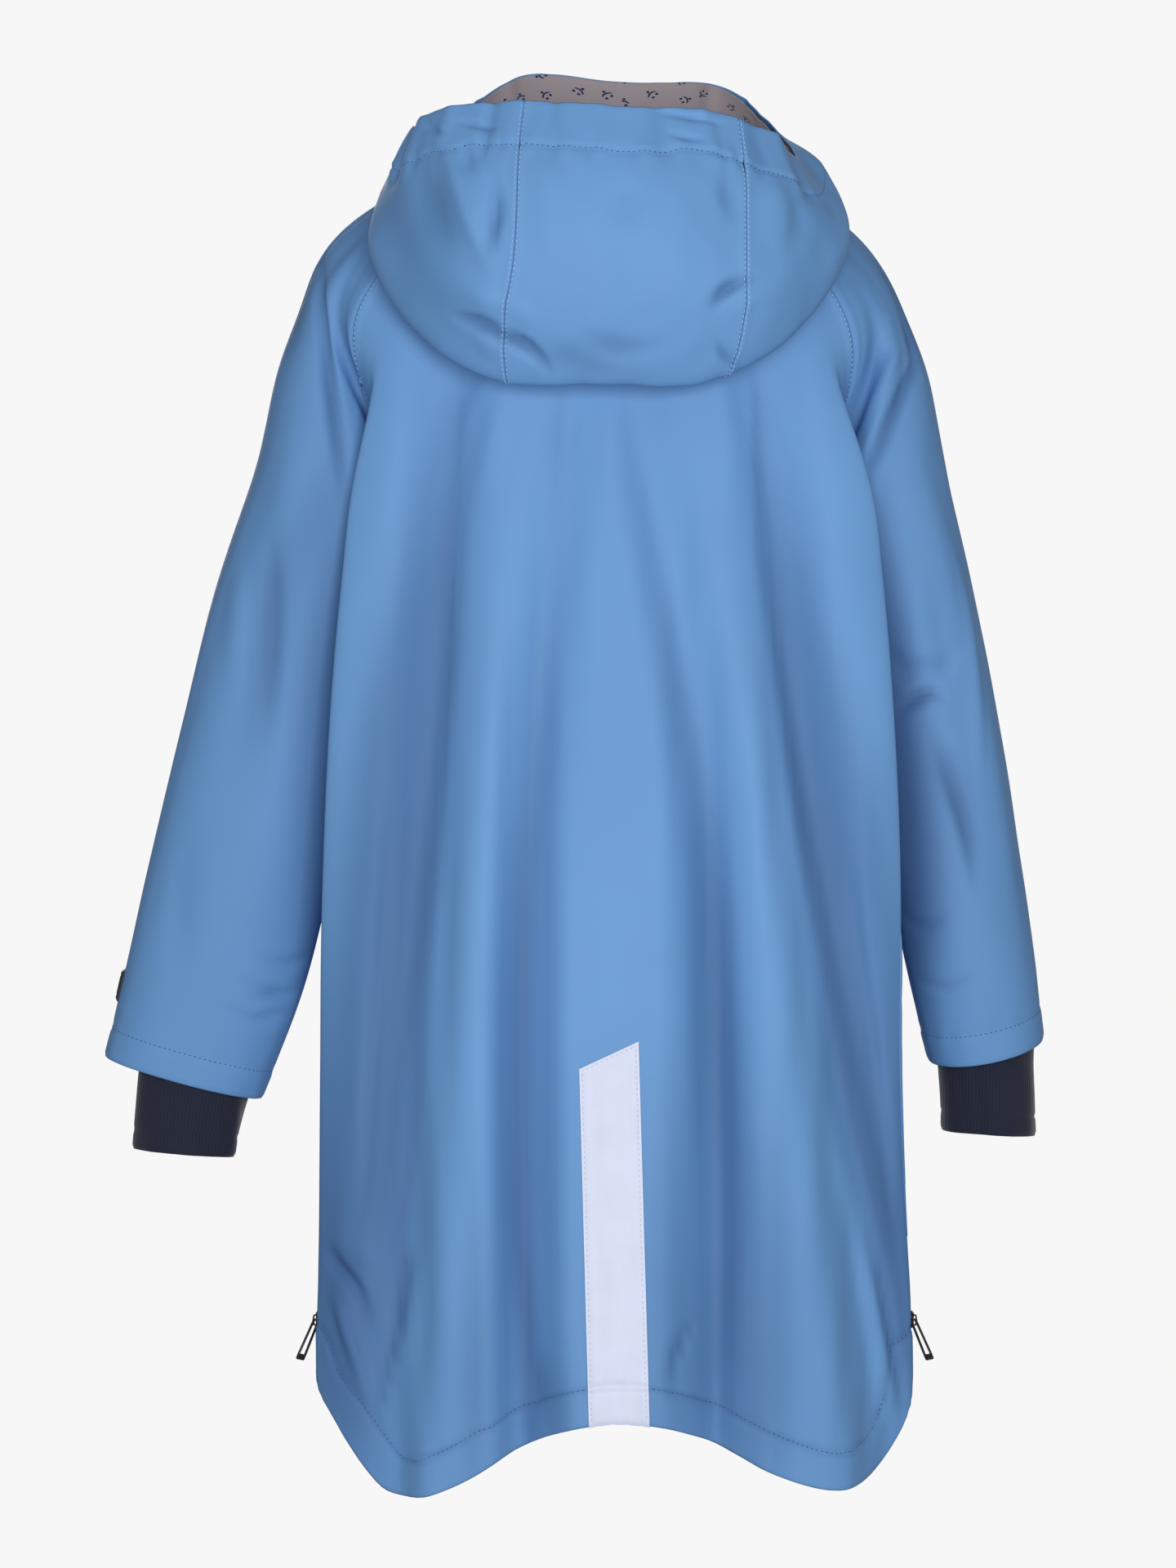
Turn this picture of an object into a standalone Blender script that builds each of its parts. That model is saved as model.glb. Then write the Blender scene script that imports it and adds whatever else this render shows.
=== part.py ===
"""Hooded rain poncho with raglan sleeves, in its worn, hollow form.

Metres, +Z up.  The wearer faces -Y, so the back of the garment faces +Y and
the wearer's left is +X.  The origin is at the middle of the neck, level with
the tops of the shoulders, where the garment hangs on whoever wears it.

Every cloth piece is an open surface, sampled from smooth sections, with a
Solidify modifier for its wall.  A point of the upper garment is named by its
place q around one side: 0 at the centre back, 1 at the back raglan seam, 2 at
the front raglan seam and 3 at the centre front.
"""

import math

import bmesh
import bpy
from mathutils import Vector

# ---------------------------------------------------------------- sizes
SHELL = 0.0015             # wall of the coated outer cloth
LINING = 0.0010            # wall of the hood lining
CUFF_WALL = 0.0020         # wall of the knitted inner cuffs
STRIP_WALL = 0.0010        # wall of the reflective strip
SEAM_GAP = 0.0005          # space between two pieces at a seam
ARMHOLE_GAP = 0.0014       # added beside the armhole seam, where two walls meet at an angle
ARMHOLE_SHIFT = 0.0030     # the sleeve's lower edge stands this far out of the armhole
LINING_INSET = 0.0033      # from the hood's outer face to the lining's
LINING_ENDS = (0.020, 0.988)        # where the lining starts and stops up the hood
CUFF_INSET = 0.0027        # from the sleeve's outer face to the cuff's, where it is sewn in
LAY_GAP = 0.0003           # space under a piece that lies on another

UNDERARM_Z = -0.240        # height of the underarm points
VENT_TOP_Z = -0.812        # height where the side seams end and the vents begin
NECK_SIDE = 0.082          # neckline: half width
NECK_BACK = 0.076          # neckline: depth behind the origin
NECK_FRONT = 0.088         # neckline: depth in front of the origin
NECK_SIDE_Z = 0.033
NECK_BACK_Z = 0.028
NECK_FRONT_Z = -0.012

ZIP_TOP_Z = -0.520         # top of the side zips
ZIP_HALF_WIDTH = 0.006
ZIP_WALL = 0.0012
SLIDER = (0.0042, 0.0085, 0.0125)   # thickness, width, length
SLIDER_RISE = 0.0040         # its middle above the vent's top
PULL_LENGTH = 0.0290
PULL_TOP_WIDTH = 0.0064
PULL_FOOT_WIDTH = 0.0088
PULL_WIRE = 0.00095
PULL_CORNER = 0.0016         # radius of the loop's corners
PULL_BAR = (0.0022, 0.0094, 0.0044)  # bar at the loop's foot: thickness, width, length
PULL_PLAY = 0.0004           # space between the pull's wire and the bail's
BAIL_WIRE = 0.00075
BAIL_RISE = 0.0042           # the bail stands this far above the slider's face
BAIL_HALF_LENGTH = 0.0040
BAIL_SHOULDER = 0.0034       # half length of the bail at its top
BAIL_CROWN = 0.0006          # extra rise of the bail's middle
SLIDER_TURN = math.radians(35)      # how far the sliders face round towards the back
PULL_TILT = math.radians(27)        # how far the hanging pulls lean out

STRIP_TOP_Z = (-0.6195, -0.6003)    # strip's slanted top: left corner, right corner
STRIP_X_TOP = (0.0235, -0.0185)     # strip's edges at its top: left, right
STRIP_X_HEM = (0.0168, -0.0255)

# ---------------------------------------------------------------- tables
# Plan sections of the body, one row per height.  edge is the outermost fold
# beside the arm, seam the side seam, mid the centre of the panel.
BODY_COLUMNS = ("z", "seam_x", "seam_y", "back_edge_x", "back_edge_y", "back_mid_y",
                "front_edge_x", "front_edge_y", "front_mid_y")
BODY = (
    (-0.240, 0.146, 0.002, 0.190, 0.074, 0.103, 0.182, -0.073, -0.117),
    (-0.330, 0.150, 0.002, 0.198, 0.076, 0.112, 0.188, -0.074, -0.124),
    (-0.430, 0.158, 0.003, 0.205, 0.078, 0.121, 0.195, -0.075, -0.131),
    (-0.530, 0.174, 0.006, 0.209, 0.080, 0.129, 0.201, -0.075, -0.137),
    (-0.640, 0.195, 0.010, 0.210, 0.080, 0.136, 0.205, -0.074, -0.141),
    (-0.740, 0.204, 0.014, 0.210, 0.078, 0.142, 0.206, -0.072, -0.144),
    (-0.830, 0.207, 0.018, 0.209, 0.080, 0.147, 0.206, -0.070, -0.147),
    (-0.940, 0.206, 0.020, 0.204, 0.084, 0.151, 0.205, -0.070, -0.150),
)
SWAY = -0.002                       # how far the foot of the body swings to the right
SWAY_TOP_Z = -0.600

# Height of the lower edge, from the centre of the panel (0) round the low
# corner to the top of the side vent (1).
HEM_COLUMNS = ("place", "back_left_z", "back_right_z", "front_z")
HEM = (
    (0.00, -0.8655, -0.8655, -0.852),
    (0.10, -0.8710, -0.8690, -0.855),
    (0.22, -0.8900, -0.8850, -0.864),
    (0.33, -0.9105, -0.9030, -0.876),
    (0.42, -0.9205, -0.9130, -0.886),
    (0.50, -0.9170, -0.9150, -0.890),
    (0.57, -0.8960, -0.9080, -0.888),
    (0.65, -0.8680, -0.8880, -0.878),
    (0.76, -0.8430, -0.8560, -0.855),
    (0.88, -0.8250, -0.8300, -0.832),
    (1.00, VENT_TOP_Z, VENT_TOP_Z, VENT_TOP_Z),
)

# Where the shoulder passes, half way from the neckline to the underarm level.
SHOULDER_COLUMNS = ("q", "neck_angle", "y", "left_x", "left_z", "right_x", "right_z")
SHOULDER = (
    (0.00, 0, 0.092, 0.000, -0.085, 0.000, -0.085),
    (0.40, 20, 0.089, 0.085, -0.088, 0.085, -0.090),
    (0.75, 37, 0.075, 0.152, -0.088, 0.142, -0.092),
    (1.00, 50, 0.060, 0.184, -0.086, 0.170, -0.094),
    (1.22, 66, 0.038, 0.204, -0.062, 0.194, -0.074),
    (1.50, 90, 0.000, 0.215, -0.036, 0.207, -0.052),
    (1.78, 114, -0.042, 0.203, -0.066, 0.195, -0.076),
    (2.00, 130, -0.066, 0.185, -0.092, 0.174, -0.098),
    (2.28, 145, -0.090, 0.140, -0.094, 0.134, -0.096),
    (2.62, 163, -0.106, 0.075, -0.098, 0.075, -0.098),
    (3.00, 180, -0.110, 0.000, -0.100, 0.000, -0.100),
)

# Rings of each sleeve below the underarm.  The first ring's inner point is the
# underarm point of the body.
SLEEVE_COLUMNS = ("outer_x", "outer_z", "inner_x", "inner_z", "mid_y", "depth", "back_drop")
SLEEVES = {
    "left": (
        (0.2640, -0.205, 0.0000, 0.000, 0.002, 0.057, 0.000),
        (0.2920, -0.288, 0.1670, -0.318, -0.003, 0.053, 0.001),
        (0.3135, -0.376, 0.1870, -0.410, -0.008, 0.050, 0.002),
        (0.3345, -0.467, 0.2080, -0.503, -0.012, 0.047, 0.003),
        (0.3520, -0.540, 0.2270, -0.575, -0.015, 0.043, 0.003),
        (0.3700, -0.619, 0.2560, -0.650, -0.018, 0.038, 0.003),
    ),
    "right": (
        (0.2450, -0.205, 0.0000, 0.000, 0.002, 0.057, 0.000),
        (0.2660, -0.288, 0.1640, -0.312, -0.004, 0.055, 0.002),
        (0.2835, -0.376, 0.1830, -0.400, -0.010, 0.054, 0.003),
        (0.2985, -0.467, 0.2020, -0.490, -0.015, 0.053, 0.005),
        (0.3090, -0.540, 0.2170, -0.560, -0.019, 0.051, 0.007),
        (0.3160, -0.605, 0.2320, -0.622, -0.022, 0.048, 0.009),
    ),
}

UNDERARM_PINCH = 0.45               # how much the sleeve narrows towards the underarm point

# Rings of the knitted cuffs below the place where they are sewn in.
CUFF_COLUMNS = ("x", "y", "z", "half_width", "half_depth", "tilt")
CUFFS = {
    "left": (
        (0.3030, -0.017, -0.6150, 0.0440, 0.0335, -0.026),
        (0.3065, -0.018, -0.6450, 0.0400, 0.0320, -0.016),
        (0.3120, -0.020, -0.6900, 0.0370, 0.0310, -0.006),
    ),
    "right": (
        (0.2730, -0.020, -0.5950, 0.0360, 0.0390, -0.006),
        (0.2740, -0.022, -0.6250, 0.0350, 0.0370, -0.002),
        (0.2760, -0.025, -0.6760, 0.0350, 0.0355, 0.004),
    ),
}
CUFF_SEWN_ROW = 4.20                # sleeve ring where the cuffs are sewn in
TAB_ROWS = (4.22, 4.50)             # sleeve rings between which the tabs lie
TAB_TURNS = {"left": (0.475, 0.76), "right": (0.56, 0.84)}
TAB_WALL = 0.0020
TAB_PUFF = 0.0022                   # how far the middle of a tab stands off

# The hood, thrown back: reach from the neck's centre and height of four rings,
# for stations at an angle from the centre back.
HOOD_COLUMNS = ("angle", "under_r", "under_z", "fold_r", "fold_z", "belly_r", "belly_z",
                "upper_r", "upper_z", "rim_r", "rim_z", "right_drop")
HOOD = (
    (0, 0.114, -0.052, 0.140, -0.142, 0.176, -0.085, 0.176, -0.008, 0.152, 0.052, 0.003),
    (26, 0.119, -0.046, 0.150, -0.140, 0.188, -0.084, 0.185, -0.009, 0.160, 0.055, 0.006),
    (44, 0.132, -0.022, 0.168, -0.112, 0.196, -0.070, 0.186, -0.005, 0.168, 0.053, 0.015),
    (60, 0.138, 0.004, 0.178, -0.056, 0.194, -0.036, 0.175, 0.007, 0.156, 0.047, 0.022),
    (80, 0.117, 0.038, 0.143, 0.024, 0.154, 0.028, 0.142, 0.044, 0.130, 0.056, 0.011),
    (105, 0.098, 0.044, 0.112, 0.043, 0.119, 0.047, 0.117, 0.060, 0.112, 0.076, 0.004),
    (140, 0.095, 0.026, 0.101, 0.040, 0.105, 0.058, 0.108, 0.083, 0.109, 0.109, 0.007),
    (180, 0.094, 0.006, 0.100, 0.026, 0.105, 0.052, 0.109, 0.082, 0.110, 0.108, 0.000),
)
HOOD_SEAM_COLUMNS = ("up", "left", "right")
HOOD_SEAMS = (
    (0.00, 24.0, 28.0),
    (0.45, 25.0, 32.0),
    (0.70, 18.5, 30.5),
    (1.00, 20.0, 35.0),
)
HOOD_RINGS = (0.0, 0.24, 0.45, 0.62, 0.82, 1.0)   # where its rings lie, neckline to rim
HOOD_BASE_RISE = 0.0012             # its first ring stands this far above the neckline
HOOD_SHIFT = 0.008                  # it sits this far left behind and right in front

# Folds of the two big panels: a trough (-) or ridge (+) runs from top to foot,
# at x given for three heights; inner and outer are its half widths towards
# the centre and towards the side.
FOLD_COLUMNS = ("top_z", "top_x", "mid_x", "foot_x", "inner", "outer", "top_depth", "foot_depth")
BACK_FOLDS = (
    (-0.075, 0.105, 0.118, 0.150, 0.026, 0.052, -0.013, -0.020),
    (-0.095, 0.018, 0.056, 0.062, 0.032, 0.028, -0.005, -0.024),
    (-0.095, -0.008, -0.064, -0.072, 0.034, 0.030, -0.005, -0.023),
    (-0.075, -0.098, -0.127, -0.186, 0.030, 0.050, -0.013, -0.021),
)
FRONT_FOLDS = (
    (-0.120, 0.090, 0.112, 0.140, 0.034, 0.045, -0.008, -0.020),
    (-0.200, 0.012, 0.028, 0.036, 0.036, 0.036, -0.004, -0.018),
    (-0.140, -0.080, -0.098, -0.122, 0.034, 0.040, -0.007, -0.020),
)
FOLD_MID_Z = -0.400
FOLD_FOOT_Z = -0.860

# ---------------------------------------------------------------- sampling
YOKE_ROWS = 5
BODY_ROWS = 12
ARM_ROWS = 7
SLEEVE_TURNS = 14
HOOD_ROWS = 11
HOOD_CENTRE_COLUMNS = 6
HOOD_SIDE_COLUMNS = 12
CUFF_TURNS = 14
BACK_PLACES = (0.035, 0.10, 0.17, 0.24, 0.31, 0.38, 0.45, 0.52, 0.59, 0.67, 0.75, 0.83, 0.91, 1.0)
FRONT_PLACES = (0.12, 0.24, 0.36, 0.48, 0.60, 0.70, 0.80, 0.90, 1.0)

# ---------------------------------------------------------------- looks
# name: (colour, roughness, metallic)
FINISHES = {
    "shell_blue": ((0.133, 0.288, 0.584), 0.55, 0.0),
    "lining_grey": ((0.30, 0.27, 0.30), 0.80, 0.0),
    "cuff_navy": ((0.012, 0.016, 0.035), 0.85, 0.0),
    "strip_silver": ((0.66, 0.69, 0.86), 0.40, 0.0),
    "tab_navy": ((0.015, 0.016, 0.024), 0.60, 0.0),
    "zip_tape": ((0.012, 0.012, 0.014), 0.45, 0.0),
    "zip_metal": ((0.045, 0.043, 0.040), 0.35, 0.9),
}


# ---------------------------------------------------------------- helpers
def spline(knots, values, t):
    """Smooth value at t through values at rising knots; numbers or vectors."""
    last = len(knots) - 1
    i = 0
    while i < last - 1 and t > knots[i + 1]:
        i += 1

    def slope(k):
        if k == 0:
            return (values[1] - values[0]) / (knots[1] - knots[0])
        if k == last:
            return (values[last] - values[last - 1]) / (knots[last] - knots[last - 1])
        return (values[k + 1] - values[k - 1]) / (knots[k + 1] - knots[k - 1])

    span = knots[i + 1] - knots[i]
    s = (t - knots[i]) / span
    return hermite(values[i], values[i + 1], slope(i) * span, slope(i + 1) * span, s)


def hermite(start, end, start_slope, end_slope, s):
    """Cubic from start to end with the given end slopes."""
    s2 = s * s
    s3 = s2 * s
    return (start * (2 * s3 - 3 * s2 + 1) + start_slope * (s3 - 2 * s2 + s)
            + end * (3 * s2 - 2 * s3) + end_slope * (s3 - s2))


def column(table, names, name):
    """One named column of a table."""
    index = names.index(name)
    return [row[index] for row in table]


def look_up(table, names, key, t, name):
    """Value of column name where column key is t; key may rise or fall."""
    knots = column(table, names, key)
    values = column(table, names, name)
    if knots[0] > knots[-1]:
        knots = [-k for k in knots]
        t = -t
    return spline(knots, values, min(max(t, knots[0]), knots[-1]))


def smooth_step(low, high, t):
    """0 below low, 1 above high, smooth between."""
    s = min(max((t - low) / (high - low), 0.0), 1.0)
    return s * s * (3 - 2 * s)


def spaced(count, low=0.0, high=1.0):
    """count + 1 even values from low to high."""
    return [low + (high - low) * i / count for i in range(count + 1)]


# ---------------------------------------------------------------- garment form
def neckline(angle):
    """Point of the neckline; angle in degrees from the centre back."""
    a = math.radians(angle)
    across, along = math.sin(a), math.cos(a)
    depth = NECK_BACK if along > 0 else NECK_FRONT
    end_z = NECK_BACK_Z if along > 0 else NECK_FRONT_Z
    z = end_z + (NECK_SIDE_Z - end_z) * across * across
    return Vector((NECK_SIDE * across, depth * along, z))


def section(face, z, w):
    """Body section at height z on the left; w is 0 at the panel's centre, 1 at the seam."""
    def at(name):
        return look_up(BODY, BODY_COLUMNS, "z", z, name)

    edge_x, edge_y, mid_y = at(face + "_edge_x"), at(face + "_edge_y"), at(face + "_mid_y")
    seam_x, seam_y = at("seam_x"), at("seam_y")
    fall = mid_y - edge_y
    points = (
        Vector((0.0, mid_y)),
        Vector((edge_x * 0.40, mid_y - fall * 0.07)),
        Vector((edge_x * 0.76, mid_y - fall * 0.36)),
        Vector((edge_x, edge_y)),
        Vector((seam_x + (edge_x - seam_x) * 0.28, seam_y + (edge_y - seam_y) * 0.70)),
        Vector((seam_x, seam_y)),
    )
    x, y = spline((0.0, 0.24, 0.47, 0.70, 0.87, 1.0), points, w)
    return Vector((x, y, z))


def underarm(side):
    """Underarm point of one side, on the left (+X) half."""
    return section("back", UNDERARM_Z, 1.0)


def sleeve_ring(side, row, turn):
    """Sleeve point on the left half; turn runs 0 to 1 from the underarm, back first."""
    table = SLEEVES[side]
    knots = list(range(len(table)))

    def at(name):
        values = column(table, SLEEVE_COLUMNS, name)
        if name in ("inner_x", "inner_z"):
            values[0] = underarm(side).x if name == "inner_x" else UNDERARM_Z
        return spline(knots, values, row)

    outer = Vector((at("outer_x"), at("mid_y"), at("outer_z")))
    inner = Vector((at("inner_x"), at("mid_y"), at("inner_z")))
    angle = math.pi * (1 - 2 * turn)
    reach = (outer - inner) / 2 * math.cos(angle)
    pinch = 1 - UNDERARM_PINCH * ((1 - math.cos(angle)) / 2) ** 3 * max(0.0, 1 - row / 2)
    swing = at("depth") * math.sin(angle) * pinch
    drop = at("back_drop") * math.sin(angle)
    return (outer + inner) / 2 + reach + Vector((0, swing, -drop))


def yoke_end(side, q):
    """Where the upper garment ends: body section or sleeve ring, and the way on."""
    if q <= 1:
        here, on = section("back", UNDERARM_Z, q), section("back", UNDERARM_Z - 0.02, q)
    elif q < 2:
        here, on = sleeve_ring(side, 0, q - 1), sleeve_ring(side, 0.15, q - 1)
    else:
        here, on = section("front", UNDERARM_Z, 3 - q), section("front", UNDERARM_Z - 0.02, 3 - q)
    return here, (on - here).normalized()


def yoke(side, q, v):
    """Upper garment on the left half: v is 0 at the neckline, 1 at the underarm level."""
    neck_angle = look_up(SHOULDER, SHOULDER_COLUMNS, "q", q, "neck_angle")
    start = neckline(neck_angle)
    middle = Vector((look_up(SHOULDER, SHOULDER_COLUMNS, "q", q, side + "_x"),
                     look_up(SHOULDER, SHOULDER_COLUMNS, "q", q, "y"),
                     look_up(SHOULDER, SHOULDER_COLUMNS, "q", q, side + "_z")))
    end, onward = yoke_end(side, q)
    through = (end - start) * 0.5
    if v < 0.5:
        over_shoulder = max(0.0, 1 - abs(q - 1.5) / 0.7)
        lift = Vector((0, 0, 0.32 * over_shoulder * (middle - start).length))
        return hermite(start, middle, (middle - start) + lift, through, v * 2)
    return hermite(middle, end, through, onward * (end - middle).length, v * 2 - 1)


def fold_offset(folds, x, z):
    """How far the folds move a panel out at x, z (x signed, in = negative)."""
    total = 0.0
    for row in folds:
        top_z, top_x, mid_x, foot_x, inner, outer, top_depth, foot_depth = row
        along = (top_z - z) / (top_z - FOLD_FOOT_Z)
        centre = spline((FOLD_FOOT_Z, FOLD_MID_Z, top_z), (foot_x, mid_x, top_x),
                        min(max(z, FOLD_FOOT_Z - 0.05), top_z))
        depth = top_depth + (foot_depth - top_depth) * smooth_step(0.0, 0.75, along)
        away = (x - centre) * (1 if centre > 0 else -1)
        width = outer if away > 0 else inner
        if abs(away) < width:
            shape = math.cos(away / width * math.pi / 2) ** 2
            total += depth * shape * smooth_step(top_z + 0.03, top_z - 0.06, z)
    return total


def hem_height(face, side, w):
    """Height of the lower edge of a panel."""
    name = "front_z" if face == "front" else "back_%s_z" % side
    return look_up(HEM, HEM_COLUMNS, "place", w, name)


def mirrored(point, side):
    """The left-half point, or its mirror image for the right side."""
    return point if side == "left" else Vector((-point.x, point.y, point.z))


def panel_point(face, place, v):
    """Panel point: place -1 right seam to 1 left seam; v 0 neckline, 1 underarm, 2 hem."""
    side = "left" if place >= 0 else "right"
    w = abs(place)
    if v <= 1:
        point = yoke(side, w if face == "back" else 3 - w, v)
    else:
        z = UNDERARM_Z + (hem_height(face, side, w) - UNDERARM_Z) * (v - 1)
        point = section(face, z, w)
    point = mirrored(point, side)
    point.x += SWAY * smooth_step(SWAY_TOP_Z, VENT_TOP_Z, point.z)
    outward = 1 if face == "back" else -1
    folds = BACK_FOLDS if face == "back" else FRONT_FOLDS
    fade = 1 - smooth_step(0.78, 0.98, w)
    point.y += outward * fade * fold_offset(folds, point.x, point.z)
    return point


def sleeve_point(side, turn, v):
    """Sleeve point: turn 0 to 1 from back seam to front seam; v 0 neck, 1 underarm, 2 hem."""
    if v <= 1:
        point = yoke(side, 1 + turn, v)
    else:
        point = sleeve_ring(side, (v - 1) * (len(SLEEVES[side]) - 1), turn)
    return mirrored(point, side)


def hood_point(angle, t):
    """Hood point: angle in degrees from the centre back, t 0 at the neckline, 1 at the rim."""
    turn = (angle + 180) % 360 - 180
    size = abs(turn)

    def at(name):
        return look_up(HOOD, HOOD_COLUMNS, "angle", size, name)

    base = neckline(size)
    rings = ("under", "fold", "belly", "upper", "rim")
    reaches = [math.hypot(base.x, base.y)] + [at(ring + "_r") for ring in rings]
    heights = [base.z + HOOD_BASE_RISE] + [at(ring + "_z") for ring in rings]
    r = spline(HOOD_RINGS, reaches, t)
    z = spline(HOOD_RINGS, heights, t)
    if turn < 0:
        z -= at("right_drop") * smooth_step(HOOD_RINGS[3], 1.0, t)
    spread = math.atan2(base.x, base.y) * (1 - t) + math.radians(size) * t
    spread = math.copysign(spread, turn)
    shift = HOOD_SHIFT * math.cos(spread) * smooth_step(0.0, HOOD_RINGS[1], t)
    return Vector((r * math.sin(spread) + shift, r * math.cos(spread), z))


# ---------------------------------------------------------------- building
def clear_scene():
    """Remove whatever the file opened with."""
    for thing in list(bpy.data.objects):
        bpy.data.objects.remove(thing, do_unlink=True)


def finish(name):
    """Principled material for one of the finishes."""
    colour, roughness, metallic = FINISHES[name]
    material = bpy.data.materials.new(name)
    material.use_nodes = True
    shader = material.node_tree.nodes["Principled BSDF"]
    shader.inputs["Base Color"].default_value = (*colour, 1)
    shader.inputs["Roughness"].default_value = roughness
    shader.inputs["Metallic"].default_value = metallic
    material.diffuse_color = (*colour, 1)
    return material


def add_object(name, mesh, collection, material):
    """Object of a mesh, in its collection, with its own material."""
    thing = bpy.data.objects.new(name, mesh)
    collection.objects.link(thing)
    mesh.materials.append(material)
    return thing


def draw_in(rows, top=False, armhole_rows=0, shares=1):
    """Move the outer points of a grid towards their neighbours by shares of half a seam gap."""
    for place, row in enumerate(rows):
        gap = shares * SEAM_GAP / 2
        if 2 * place > armhole_rows > place:
            gap += ARMHOLE_GAP / 2
        first = (row[1] - row[0]).normalized() * gap
        last = (row[-2] - row[-1]).normalized() * gap
        row[0] = row[0] + first
        row[-1] = row[-1] + last
    if top:
        rows[0] = [a + (b - a).normalized() * SEAM_GAP / 2 for a, b in zip(rows[0], rows[1])]
    return rows


def grid_mesh(name, rows, closed_from=None):
    """Mesh of rows of points; from row closed_from on, a row's ends are one point."""
    bm = bmesh.new()
    verts = []
    for index, row in enumerate(rows):
        closed = closed_from is not None and index >= closed_from
        line = [bm.verts.new(p) for p in (row[:-1] if closed else row)]
        if closed:
            line.append(line[0])
        verts.append(line)
    for upper, lower in zip(verts, verts[1:]):
        for j in range(len(upper) - 1):
            corners = []
            for vert in (upper[j + 1], lower[j + 1], lower[j], upper[j]):
                if vert not in corners:
                    corners.append(vert)
            if len(corners) > 2:
                bm.faces.new(corners)
    mesh = bpy.data.meshes.new(name)
    bm.to_mesh(mesh)
    bm.free()
    mesh.shade_smooth()
    return mesh


def add_wall(thing, thickness, offset=-1.0):
    """Give an open surface its wall; offset -1 puts it on the inner side."""
    wall = thing.modifiers.new("wall", "SOLIDIFY")
    wall.thickness = thickness
    wall.offset = offset
    wall.use_rim = True


def cloth(name, rows, collection, material, thickness=SHELL, closed_from=None):
    """Cloth piece from rows of points with its wall inward."""
    mesh = grid_mesh(name, rows, closed_from)
    thing = add_object(name, mesh, collection, material)
    add_wall(thing, thickness)
    return thing


def build_panels(collection, materials):
    """Back and front panels, neckline to hem, side seam to side seam; returns their rows."""
    heights = spaced(YOKE_ROWS) + spaced(BODY_ROWS, 1.0, 2.0)[1:]
    made = {}
    for face, half in (("back", BACK_PLACES), ("front", FRONT_PLACES)):
        places = [-w for w in reversed(half)] + [0.0] + list(half)
        if face == "front":
            places = places[::-1]
        rows = [[panel_point(face, place, v) for place in places] for v in heights]
        made[face] = draw_in(rows, top=True, armhole_rows=YOKE_ROWS)
        cloth(face + "_panel", rows, collection, materials["shell_blue"])
    return made


def build_sleeves(collection, materials):
    """Raglan sleeves, each one piece: open above the underarm, a tube below."""
    for side in ("left", "right"):
        heights = spaced(YOKE_ROWS) + spaced(ARM_ROWS, 1.0, 2.0)[1:]
        turns = spaced(SLEEVE_TURNS)
        if side == "right":
            turns = turns[::-1]
        rows = [[sleeve_point(side, turn, v) for turn in turns] for v in heights]
        out = Vector((1 if side == "left" else -1, 0, 0))
        for row in rows[YOKE_ROWS:]:
            row[0] = row[0] + out * SEAM_GAP
            row[-1] = row[0].copy()
        draw_in(rows[:YOKE_ROWS], armhole_rows=YOKE_ROWS)
        for row in rows[YOKE_ROWS // 2:YOKE_ROWS]:
            for place in (0, 1, -2, -1):
                row[place] = row[place] + out * ARMHOLE_SHIFT
        rows[0] = [a + (b - a).normalized() * SEAM_GAP / 2 for a, b in zip(rows[0], rows[1])]
        name = "sleeve_" + side
        cloth(name, rows, collection, materials["shell_blue"], closed_from=YOKE_ROWS)


def seam_angle(side, t):
    """Angle of one of the hood's seams at place t up the hood."""
    size = look_up(HOOD_SEAMS, HOOD_SEAM_COLUMNS, "up", t, side)
    return size if side == "left" else -size


def hood_columns(t):
    """Angles of the hood's columns at place t: centre, left side and right side."""
    left, right = seam_angle("left", t), seam_angle("right", t)
    return {"hood_centre": spaced(HOOD_CENTRE_COLUMNS, right, left),
            "hood_side_left": spaced(HOOD_SIDE_COLUMNS, left, 180.0),
            "hood_side_right": spaced(HOOD_SIDE_COLUMNS, -180.0, right)}


def build_hood(collection, materials):
    """Three-piece hood: a centre panel behind and one side panel each way round to the front."""
    for name in ("hood_centre", "hood_side_left", "hood_side_right"):
        rows = [[hood_point(angle, t) for angle in hood_columns(t)[name]]
                for t in spaced(HOOD_ROWS)]
        draw_in(rows, shares=2)
        cloth(name, rows[::-1], collection, materials["shell_blue"])


def hood_normal(angle, t):
    """Direction from the hood's outer cloth towards its inside."""
    step_a, step_t = 6.0, 0.05
    low, high = max(t - step_t, 0.0), min(t + step_t, 1.0)
    around = hood_point(angle + step_a, t) - hood_point(angle - step_a, t)
    up = hood_point(angle, high) - hood_point(angle, low)
    return around.cross(up).normalized()


def build_lining(collection, materials):
    """Lining inside the hood and its collar, one tube from the neckline to the rim."""
    heights = spaced(HOOD_ROWS)
    heights[0], heights[-1] = LINING_ENDS
    rows = []
    for t in heights:
        columns = hood_columns(t)
        angles = columns["hood_centre"] + columns["hood_side_left"][1:] + columns["hood_side_right"][1:]
        ring = [hood_point(angle, t) + hood_normal(angle, t) * LINING_INSET for angle in angles[:-1]]
        rows.append(ring + [ring[0]])
    cloth("hood_lining", rows[::-1], collection, materials["lining_grey"], LINING, closed_from=0)


def inward(ring, distance):
    """Ring of points moved towards its own centre."""
    centre = sum(ring, Vector()) / len(ring)
    return [p + (centre - p).normalized() * distance for p in ring]


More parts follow.
